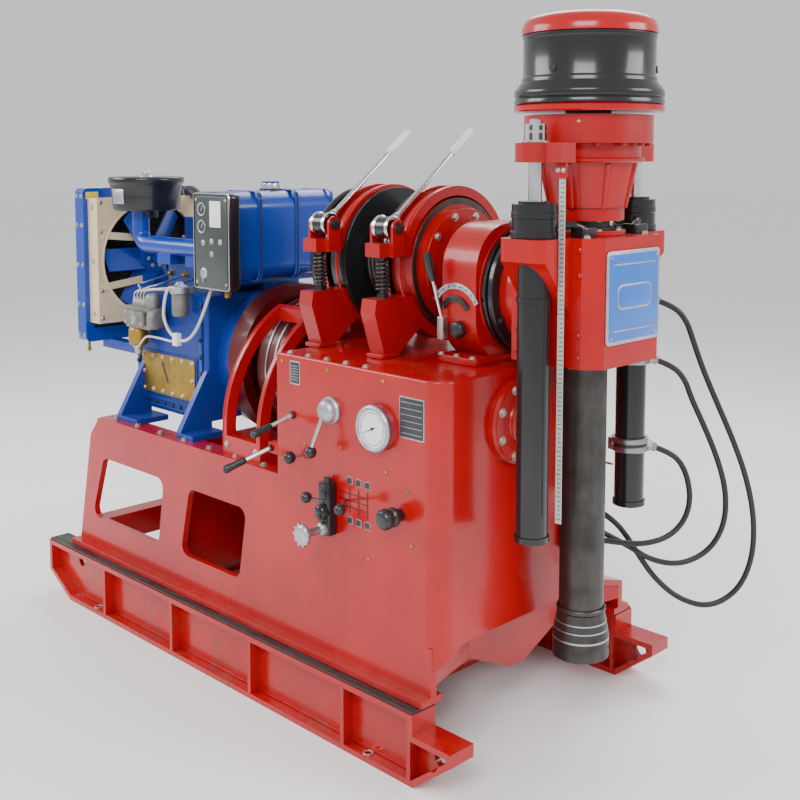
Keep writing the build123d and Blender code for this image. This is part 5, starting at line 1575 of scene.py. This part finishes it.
class RIG_OT_fuel_lines(Piece, bpy.types.Operator):
    """Add the fuel filter, its pale return hose with the white clip, and the low fuel pipe"""

    bl_idname = "rig.fuel_lines"
    bl_label = "Fuel Lines"

    def build(self, scene):
        s = Shape()
        can = (-0.318, -0.286, 0.0)
        s.turned(
            (can[0], can[1], 0.925), Z,
            [(0, 0), (0.019, 0), (0.0235, 0.006), (0.0235, 0.066), (0.020, 0.070), (0, 0.0705)],
            "cast_grey", 0.002, 32,
        )
        s.turned(
            (can[0], can[1], 0.992), Z,
            [(0, 0), (0.0285, 0), (0.0285, 0.020), (0.014, 0.025), (0.008, 0.034), (0, 0.0345)],
            "silver", 0.002, 32,
        )
        s.block((-0.340, -0.272, 0.993), (-0.296, -0.2495, 1.010), "cast_grey", 0.003, 0.001)
        s.rod((-0.345, -0.286, 1.003), (-0.366, -0.286, 1.003), 0.0085, "zinc")
        hose = [
            (-0.366, -0.286, 1.003), (-0.384, -0.286, 0.992), (-0.393, -0.290, 0.955),
            (-0.386, -0.296, 0.915), (-0.352, -0.300, 0.878), (-0.300, -0.300, 0.859),
            (-0.262, -0.295, 0.868), (-0.236, -0.285, 0.900), (-0.222, -0.272, 0.945),
            (-0.215, -0.255, 0.995), (-0.213, -0.240, 1.029),
        ]
        s.tube(smooth_path(hose, 8), 0.0048, "hose_pale", 14)
        s.block((-0.328, -0.309, 0.842), (-0.304, -0.291, 0.878), "white", 0.003, 0.001)
        low = [
            (-0.530, -0.3, 0.830), (-0.520, -0.301, 0.815), (-0.480, -0.299, 0.848),
            (-0.42, -0.296, 0.852), (-0.35, -0.296, 0.850), (-0.318, -0.298, 0.856),
        ]
        s.tube(smooth_path(low, 6), 0.0035, "hose_pale", 12)
        s.turned(
            (-0.540, -0.287, 0.786), Z,
            [(0, 0), (0.008, 0), (0.012, 0.006), (0.012, 0.020), (0.020, 0.031), (0, 0.032)], "zinc",
            0.001, 20,
        )
        s.piece("fuel_lines", "carriage")


class RIG_OT_engine_head(Piece, bpy.types.Operator):
    """Add the rocker covers' rims, breather, head bolts and the inlet flanges with their bolts"""

    bl_idname = "rig.engine_head"
    bl_label = "Engine Head"

    def build(self, scene):
        s = Shape()
        s.block((-0.584, -0.101, 1.1235), (-0.306, 0.101, 1.132), "cast_blue", 0.016, 0.002)
        s.bolts([(x, y, 1.132) for x in np.linspace(-0.570, -0.320, 5) for y in (-0.097, 0.097)], Z, 0.0068)
        s.block((-0.5935, -0.1535, 0.9835), (-0.2965, 0.1535, 0.990), "dark_steel", 0.004, 0.001)
        for x in np.linspace(-0.565, -0.325, 4):
            s.block((x - 0.021, -0.1560, 1.060), (x + 0.021, -0.1485, 1.108), "cast_blue", 0.006, 0.002, 1)
            s.bolts([(x - 0.012, -0.156, 1.084), (x + 0.012, -0.156, 1.084)], OUT, 0.0055)
        s.turned(
            (-0.400, 0.0, 1.194), Z,
            [
                (0, 0), (0.024, 0), (0.024, 0.012), (0.032, 0.016), (0.032, 0.030), (0.020, 0.040),
                (0, 0.041),
            ],
            "cast_blue", 0.002, 36,
        )
        s.turned(
            (-0.500, 0.0, 1.1945), Z, [(0, 0), (0.009, 0), (0.009, 0.006), (0, 0.0105)], "zinc", 0.001,
            20,
        )
        s.turned(
            (-0.340, 0.0, 1.1945), Z, [(0, 0), (0.009, 0), (0.009, 0.006), (0, 0.0105)], "zinc", 0.001,
            20,
        )
        s.piece("head_covers", "carriage")


class RIG_OT_air_cleaner(Piece, bpy.types.Operator):
    """Add the air cleaner: flared lid, wing nut and blank label, with its pipe clamps"""

    bl_idname = "rig.air_cleaner"
    bl_label = "Air Cleaner"

    def build(self, scene):
        s = Shape()
        at = (-0.668, -0.168, 0)
        body = [
            (0, 1.2155), (0.098, 1.2155), (0.1035, 1.2195), (0.1060, 1.262), (0.1120, 1.296),
            (0.1172, 1.303), (0.1178, 1.3125), (0.1160, 1.3190), (0.100, 1.3212), (0.060, 1.3180),
            (0, 1.3180),
        ]
        s.turned(at, Z, body, "black", 0.0012, 96)
        s.turned(
            (*at[:2], 1.3175), Z,
            [
                (0, 0), (0.022, 0), (0.020, 0.005), (0.009, 0.008), (0.009, 0.020), (0.004, 0.0235),
                (0, 0.024),
            ],
            "silver", 0.0008, 28,
        )
        wing = rounded(
            [
                (-0.024, 1.327), (-0.006, 1.326), (0.006, 1.326), (0.024, 1.327), (0.024, 1.3405),
                (0.010, 1.336), (-0.010, 1.336), (-0.024, 1.3405),
            ],
            0.003, 3,
        )
        s.slab(wing + (-0.668, 0.0), (0, -0.166, 0), X, Z, 0.003, "silver", 0.0008)
        angle = np.linspace(math.radians(-102), math.radians(-72), 9)
        outer = np.stack([np.cos(angle), np.sin(angle)], 1)
        strip = []
        for z, out in ((1.238, 0.1062), (1.240, 0.1072), (1.281, 0.1106), (1.283, 0.1096)):
            strip.append(
                np.column_stack([at[0] + outer[:, 0] * out, at[1] + outer[:, 1] * out, np.full(9, z)]),
            )
        strip.append(
            np.column_stack(
                [at[0] + outer[:, 0] * 0.1035, at[1] + outer[:, 1] * 0.1035, np.full(9, 1.262)],
            ),
        )
        s.grid(np.array(strip).transpose(1, 0, 2), "silver")
        s.ring((*at[:2], 0), Z, 0.0265, 0.0345, 1.192, 1.2165, "dark_steel", 0.001, 36)
        s.piece("air_cleaner_body", "carriage", ("air_cleaner",))


class RIG_OT_cooling(Piece, bpy.types.Operator):
    """Add the radiator's core, cap, side bolts and blank labels, and the water hoses"""

    bl_idname = "rig.cooling"
    bl_label = "Radiator"

    def build(self, scene):
        s = Shape()
        for x, side in ((-0.9425, -1), (-0.9055, 1)):
            core = box_outline((-0.229, 0.824), (0.149, 1.234), 0.004)
            s.slab(core, (x, 0, 0), Y, Z, 0.004 * side, "core", 0.0008)
        for z in np.arange(0.85, 1.23, 0.040):
            s.block((-0.9440, -0.2285, z), (-0.9405, 0.1485, z + 0.0025), "dark_steel", 0.0006, 0.0004)
        s.turned(
            (-0.924, 0.08, 1.2795), Z,
            [
                (0, 0), (0.021, 0), (0.021, 0.010), (0.026, 0.012), (0.026, 0.022), (0.018, 0.026),
                (0, 0.0265),
            ],
            "silver", 0.001, 32,
        )
        for low, high, tone in (
            ((-0.942, -0.244), (-0.908, -0.198), "yellow"),
            ((-0.942, -0.192), (-0.908, -0.168), "white"),
        ):
            s.slab(box_outline(low, high, 0.002), (0, 0, 1.2798), X, Y, 0.0007, tone, 0.0002)
        s.slab(
            box_outline((-0.250, 1.245), (-0.205, 1.268), 0.002), (-0.8985, 0, 0), Y, Z, 0.0007,
            "yellow", 0.0002,
        )
        for z in (0.80, 0.90, 1.03, 1.16, 1.255):
            s.bolts([(x, -0.2595, z) for x in (-0.940, -0.910)], OUT, 0.006)
            s.bolts([(-0.925, 0.1795, z)], Y, 0.006)
        s.rod((-0.925, -0.235, 0.7785), (-0.925, -0.235, 0.756), 0.0045, "brass")
        s.turned(
            (-0.925, -0.235, 0.742), Z,
            [(0, 0), (0.003, 0), (0.0065, 0.006), (0.0065, 0.016), (0, 0.0165)], "brass", 0.001, 16,
        )
        top = [
            (-0.899, 0.135, 1.252), (-0.870, 0.135, 1.262), (-0.800, 0.120, 1.240),
            (-0.730, 0.085, 1.175), (-0.670, 0.050, 1.110), (-0.625, 0.030, 1.085),
            (-0.590, 0.025, 1.080),
        ]
        s.tube(smooth_path(top, 8), 0.020, "rubber", 22)
        bottom = [
            (-0.899, 0.120, 0.800), (-0.870, 0.120, 0.795), (-0.800, 0.095, 0.808),
            (-0.730, 0.050, 0.850), (-0.680, 0.020, 0.900), (-0.640, 0.010, 0.935),
            (-0.598, 0.008, 0.940),
        ]
        s.tube(smooth_path(bottom, 8), 0.020, "rubber", 22)
        for path in (top, bottom):
            for a, b in ((path[0], path[1]), (path[-1], path[-2])):
                a = np.array(a)
                axis = (np.array(b) - a) / np.linalg.norm(np.array(b) - a)
                s.ring(a + axis * 0.012, axis, 0.0195, 0.0224, 0, 0.010, "zinc", 0.0006, 28)
        s.piece("radiator_details", "carriage")


class RIG_OT_shroud(Piece, bpy.types.Operator):
    """Add the fan shroud's rolled rim, guard bars and bolts"""

    bl_idname = "rig.shroud"
    bl_label = "Fan Shroud"

    def build(self, scene):
        s = Shape()
        s.ring((0, FAN_Y, FAN_Z), X, 0.1835, 0.1905, -0.846, -0.8345, "cream", 0.002, 96)
        for y, z, turn in ((-0.232, 1.130, -0.10), (-0.232, 0.960, 0.12)):
            start = np.array((-0.8385, y, z))
            end = start + np.array((0.0, 0.150 * math.cos(turn), 0.150 * math.sin(turn)))
            bar = np.array(
                [
                    start[1:] + (0, 0.012), end[1:] + (0, 0.012), end[1:] - (0, 0.012),
                    start[1:] - (0, 0.012),
                ],
            )
            s.slab(rounded(bar, 0.003, 3)[::-1], (-0.8405, 0, 0), Y, Z, 0.004, "cream", 0.001)
        places = [(-0.8395, y, z) for y in (-0.232, 0.152) for z in (0.860, 0.950, 1.140, 1.236)]
        s.bolts(places, X, 0.006)
        for z in (0.873, 1.046, 1.220):
            s.bolts([(-0.869, -0.2435, z)], OUT, 0.0065)
        s.piece("shroud_details", "carriage")

        f = Shape()
        at = (0.0, FAN_Y, FAN_Z)
        f.ring(at, X, 0.0165, 0.0625, -0.697, -0.690, "dark_steel", 0.001, 48)
        f.ring(at, X, 0.0165, 0.0625, -0.675, -0.667, "dark_steel", 0.001, 48)
        f.bolts([(-0.8215, FAN_Y + y, FAN_Z + z) for y, z in around(6, 0.026)], X, 0.0055)
        f.piece("fan_pulley_details", "fan")


class RIG_OT_tank(Piece, bpy.types.Operator):
    """Add the fuel tank's strap grooves (dark bands of painted shade), end flanges, bright cap and drain tap
    """

    bl_idname = "rig.tank"
    bl_label = "Fuel Tank"

    def build(self, scene):
        s = Shape()
        outline = box_outline((-0.2905, 1.0295), (-0.1345, 1.2855), 0.027, 8)
        for y in (-0.135, 0.000):
            # the groove between the strap edges is a dark band of painted shade
            s.band(outline, y - 0.0022, y + 0.0022, 0.0014, "dark_inside")
            s.band(outline, y - 0.0075, y - 0.0030, 0.0024, "blue")
            s.band(outline, y + 0.0030, y + 0.0075, 0.0024, "blue")
        s.band(outline, 0.1320, 0.1400, 0.0018, "blue")
        cap = (-0.2125, -0.035, 0)
        s.ring(cap, Z, 0.0240, 0.0330, 1.2835, 1.2895, "dark_steel", 0.001, 48)
        s.turned(
            cap, Z, [(0, 1.289), (0.0262, 1.289), (0.0262, 1.306), (0.022, 1.3108), (0, 1.3110)],
            "chrome", 0.001, 56,
        )
        for x, y in around(18, 0.0259):
            s.rod(
                (cap[0] + x, cap[1] + y, 1.2905), (cap[0] + x, cap[1] + y, 1.3045), 0.0016, "chrome",
                0.0003, 8,
            )
        s.rod((-0.170, -0.225, 1.0302), (-0.170, -0.225, 1.006), 0.0065, "brass")
        s.turned(
            (-0.170, -0.225, 0.984), Z,
            [(0, 0), (0.0055, 0), (0.0100, 0.006), (0.0100, 0.018), (0.0065, 0.023), (0, 0.0235)],
            "brass", 0.001, 18,
        )
        s.block((-0.186, -0.2355, 1.0120), (-0.158, -0.2325, 1.0200), "white", 0.002, 0.001)
        s.piece("tank_straps", "carriage")


class RIG_OT_instrument_box(Piece, bpy.types.Operator):
    """Add the instrument box: bright rim, dark face, blank label, meters, switch and lever"""

    bl_idname = "rig.instrument_box"
    bl_label = "Instrument Box"

    def build(self, scene):
        s = Shape()
        outer = box_outline((-0.2405, 1.0155), (-0.0745, 1.2835), 0.014, 6)
        s.slab(outer, (0, -0.2505, 0), X, Z, 0.0360, "black", 0.004)
        rim = box_outline((-0.2395, 1.0165), (-0.0755, 1.2825), 0.013, 6)
        s.band(rim, -0.2895, -0.2835, 0.0010, "chrome")
        face = box_outline((-0.2330, 1.0240), (-0.0820, 1.2750), 0.010, 6)
        s.slab(face, (0, -0.2860, 0), X, Z, 0.0030, "panel_green", 0.001)
        s.near_plate((-0.162, 1.190), (-0.112, 1.262), -0.2885, 0.0014, "white", 0.002, 0.0004)
        for x, z, r in ((-0.200, 1.238, 0.019), (-0.200, 1.190, 0.019)):
            s.turned(
                (x, -0.2885, z), OUT,
                [(0, 0), (r, 0), (r, 0.0026), (r - 0.003, 0.0030), (r - 0.004, 0.0018), (0, 0.0018)],
                "silver", 0.0003, 36,
            )
            s.disc((x, -0.2900, z), OUT, r - 0.0045, 0.0009, "ink", 0.0002, 30)
            s.slab(
                [
                    (x - 0.0006, z - 0.004), (x + 0.0006, z - 0.004), (x + 0.007, z + 0.010),
                    (x + 0.0060, z + 0.0105),
                ],
                (0, -0.2906, 0), X, Z, 0.0005, "white", 0.0001,
            )
        for x, z in ((-0.154, 1.150), (-0.194, 1.145), (-0.114, 1.150), (-0.154, HOIST_Z)):
            s.turned(
                (x, -0.2885, z), OUT,
                [(0, 0), (0.0085, 0), (0.0080, 0.0025), (0.0050, 0.0032), (0, 0.0034)], "zinc", 0.0004,
                20,
            )
        s.turned(
            (-0.194, -0.2885, 1.060), OUT,
            [(0, 0), (0.016, 0), (0.015, 0.0022), (0.010, 0.0034), (0, 0.0035)], "silver", 0.0004, 30,
        )
        s.near_plate((-0.1965, 1.036), (-0.1915, 1.072), -0.2905, 0.0014, "silver", 0.002, 0.0004)
        s.bolts(
            [(x, -0.2885, z) for x in (-0.226, -0.089) for z in (1.034, 1.265)], OUT, 0.0038, "zinc",
            0.0026,
        )
        s.piece("instrument_box_body", "carriage", ("instrument_box",))


# ---------------------------------------------------------------- drive line and bed


class RIG_OT_drive_line(Piece, bpy.types.Operator):
    """Add the flywheel's toothed ring, clutch ribs and the rings and bolts on the drive shaft"""

    bl_idname = "rig.drive_line"
    bl_label = "Drive Line"

    def build(self, scene):
        s = Shape()
        count = 132
        t = np.linspace(0.0, TAU, count * 4, endpoint=False)
        r = 0.2165 + 0.0030 * np.clip(2.2 * np.cos(count * t), -1.0, 1.0)
        circle = np.stack([np.zeros_like(t), r * np.cos(t), r * np.sin(t)], 1)
        inner = np.stack([np.zeros_like(t), 0.205 * np.cos(t), 0.205 * np.sin(t)], 1)
        at = np.array((0.0, 0.0, CRANK_Z))
        rings = [
            inner + at + (-0.1825, 0, 0), circle + at + (-0.1825, 0, 0), circle + at + (-0.1700, 0, 0),
            inner + at + (-0.1700, 0, 0), inner + at + (-0.1825, 0, 0),
        ]
        s.grid(rings, "dark_steel", ends=False)
        s.ring(at, X, 0.150, 0.1912, -0.0840, -0.0800, "dark_red", 0.001, 96)
        for x in (-0.045, -0.010, 0.025, 0.055):
            s.ring(at, X, 0.1890, 0.1935, x - 0.003, x + 0.003, "steel", 0.001, 96)
        s.bolts([(0.0615, y, CRANK_Z + z) for y, z in around(8, 0.150)], X, 0.0095)
        s.ring(at, X, 0.0355, 0.080, 0.0620, 0.0760, "cast_red", 0.002, 56)
        s.bolts([(0.076, y, CRANK_Z + z) for y, z in around(6, 0.062, 0.3)], X, 0.007)
        s.piece("drive_line_details", "drive_line")


class RIG_OT_guards(Piece, bpy.types.Operator):
    """Add the rolled rims and bolts of the two clutch guards"""

    bl_idname = "rig.guards"
    bl_label = "Clutch Guards"

    def build(self, scene):
        s = Shape()
        for side in (-1, 1):
            for x in (-0.0285, 0.1285):
                z = np.linspace(0.600, 0.660, 5)
                upright = np.stack([np.full(5, x), np.full(5, side * 0.3495), z], 1)
                t = np.linspace(0.0, math.acos(0.1515 / 0.3495), 28)
                arc = np.stack([np.full(28, x), side * 0.3495 * np.cos(t), 0.660 + 0.3495 * np.sin(t)], 1)
                s.tube(np.concatenate([upright, arc[1:]]), 0.0026, "red", 10)
            s.bolts([(x, side * 0.3500, 0.618) for x in (-0.012, 0.112)], (0, side, 0), 0.0075)
        s.piece("guard_rims", "carriage")


def weld_seam(low, high, y, z, ripple, waves):
    """Line along X whose height is z + ripple sin(waves x)."""
    x = np.arange(low, high, 0.004)
    return np.stack([x, np.full_like(x, y), z + ripple * np.sin(x * waves)], 1)


class RIG_OT_bed(Piece, bpy.types.Operator):
    """Add the bed's bolts, weld seams and the cables seen through its windows"""

    bl_idname = "rig.bed"
    bl_label = "Bed"

    def build(self, scene):
        s = Shape()
        for x in np.arange(-0.58, 0.20, 0.12):
            s.bolts([(x, side * 0.345, 0.5905) for side in (-1, 1)], Z, 0.0085)
        for side in (-1, 1):
            y = side * 0.3515
            s.tube(weld_seam(-0.68, 0.74, y, 0.5735, 0.0008, 900), 0.0032, "red", 8)
            s.tube(weld_seam(-0.74, 0.74, y, 0.1885, 0.0008, 870), 0.0032, "red", 8)
        for k, (y, z) in enumerate(((0.120, 0.300), (0.150, 0.312), (0.178, 0.296))):
            path = [
                (-0.60, y, z), (-0.35, y + 0.012, z + 0.016), (-0.10, y - 0.010, z - 0.008),
                (0.12, y + 0.006, z + 0.030 + 0.01 * k), (0.205, y, z + 0.05),
            ]
            s.tube(smooth_path(path, 12), 0.0085, "rubber", 14)
        s.piece("bed_details", "carriage")


class RIG_OT_skid(Piece, bpy.types.Operator):
    """Add the skid's weld seams and anchor washers"""

    bl_idname = "rig.skid"
    bl_label = "Skid"

    def build(self, scene):
        s = Shape()
        for side in (-1, 1):
            for x in (-0.6, 0.6):
                s.ring((x, side * 0.41, 0.0), Z, 0.0072, 0.013, 0.0138, 0.0165, "zinc", 0.0005, 28)
            for z in (0.0165, 0.1485):
                seam = weld_seam(-0.70, 0.74, side * 0.3950, z, 0.0006, 800)
                s.tube(seam, 0.0026, "red", 8)
        s.piece("skid_details", "skid")


# ---------------------------------------------------------------- stage


class RIG_OT_stage(Piece, bpy.types.Operator):
    """Add the floor, the soft lights and the camera"""

    bl_idname = "rig.stage"
    bl_label = "Stage"

    def build(self, scene):
        stage = scene.rig_stage
        shape = Shape()
        t = np.linspace(0.0, TAU, 96, endpoint=False)
        ring = np.stack([np.cos(t), np.sin(t), np.zeros(96)], 1)
        radii = np.array([0.01, 1.0, 3.0, 8.0, 20.0, 40.0])
        mesh = bpy.data.meshes.new("floor")
        shape.grid(radii[:, None, None] * ring + np.array((0.0, 0.0, -0.0006)), "white", ends=False)
        mesh.from_pydata(np.concatenate(shape.points), [], [f[::-1] for f in shape.faces])
        s = Shader("floor")
        cloud = s.noise(1.5, 3.0)
        tone = tuple(stage.floor)
        mesh.materials.append(
            s.finish(s.mix(cloud, tone, shade(tone, 0.985)), 0.55 + 0.1 * cloud)
        )
        floor = bpy.data.objects.new("floor", mesh)
        scene.collection.objects.link(floor)

        world = bpy.data.worlds.new("studio")
        scene.world = world
        world.use_nodes = True
        background = world.node_tree.nodes["Background"]
        background.inputs["Color"].default_value = (0.97, 0.975, 1.0, 1.0)
        background.inputs["Strength"].default_value = 0.85 * stage.light

        lights = (
            ((2.6, -3.4, 3.6), 2.6, 150.0),
            ((3.8, 1.8, 2.6), 2.2, 80.0),
            ((-2.8, -2.6, 3.0), 2.6, 120.0),
            ((-1.0, 2.6, 3.8), 3.0, 95.0),
        )
        aim = Vector((0.1, 0.0, 0.8))
        for i, (place, size, power) in enumerate(lights):
            lamp = bpy.data.lights.new(f"softbox_{i}", "AREA")
            lamp.shape = "RECTANGLE"
            lamp.size = size
            lamp.size_y = size * 0.6
            lamp.energy = power * stage.light
            made = bpy.data.objects.new(f"softbox_{i}", lamp)
            made.location = place
            made.rotation_euler = (aim - Vector(place)).to_track_quat("-Z", "Y").to_euler()
            scene.collection.objects.link(made)

        lens = bpy.data.cameras.new("camera")
        lens.lens = stage.lens
        lens.sensor_width = 36.0
        lens.shift_y = stage.rise
        lens.clip_start = 0.05
        camera = bpy.data.objects.new("camera", lens)
        camera.location = stage.camera
        camera.rotation_euler = (math.pi / 2 - stage.pitch, 0.0, stage.turn)
        scene.collection.objects.link(camera)
        bpy.context.scene.camera = camera


# ---------------------------------------------------------------- panel and registration

OPERATORS = (
    RIG_OT_frame_looks,
    RIG_OT_hoses,
    RIG_OT_chuck,
    RIG_OT_crosshead,
    RIG_OT_depth_rule,
    RIG_OT_spindle,
    RIG_OT_feed_glands,
    RIG_OT_head_details,
    RIG_OT_hose_ends,
    RIG_OT_brake_bands,
    RIG_OT_brake_levers,
    RIG_OT_hoist_drums,
    RIG_OT_pedestal,
    RIG_OT_gauge,
    RIG_OT_panel_controls,
    RIG_OT_shift_levers,
    RIG_OT_panel_plates,
    RIG_OT_engine_block,
    RIG_OT_injection,
    RIG_OT_fuel_lines,
    RIG_OT_engine_head,
    RIG_OT_air_cleaner,
    RIG_OT_cooling,
    RIG_OT_shroud,
    RIG_OT_tank,
    RIG_OT_instrument_box,
    RIG_OT_drive_line,
    RIG_OT_guards,
    RIG_OT_bed,
    RIG_OT_skid,
    RIG_OT_stage,
)


class RIG_PT_panel(bpy.types.Panel):
    """Lists the steps that dress the rig"""

    bl_idname = "RIG_PT_panel"
    bl_label = "Drilling Rig"
    bl_space_type = "VIEW_3D"
    bl_region_type = "UI"
    bl_category = "Drilling Rig"

    def draw(self, context):
        for group in ("rig_paint", "rig_details", "rig_stage"):
            settings = getattr(context.scene, group)
            box = self.layout.box()
            for name in settings.__annotations__:
                box.prop(settings, name)
        for operator in OPERATORS:
            self.layout.operator(operator.bl_idname)


CLASSES = (RigPaintSettings, RigDetailSettings, RigStageSettings, *OPERATORS, RIG_PT_panel)


def register():
    for cls in CLASSES:
        bpy.utils.register_class(cls)
    bpy.types.Scene.rig_paint = bpy.props.PointerProperty(type=RigPaintSettings)
    bpy.types.Scene.rig_details = bpy.props.PointerProperty(type=RigDetailSettings)
    bpy.types.Scene.rig_stage = bpy.props.PointerProperty(type=RigStageSettings)


def unregister():
    del bpy.types.Scene.rig_stage
    del bpy.types.Scene.rig_details
    del bpy.types.Scene.rig_paint
    for cls in reversed(CLASSES):
        bpy.utils.unregister_class(cls)


def main():
    register()
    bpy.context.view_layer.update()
    for operator in OPERATORS:
        group, name = operator.bl_idname.split(".")
        getattr(getattr(bpy.ops, group), name)()


if __name__ == "__main__":
    main()
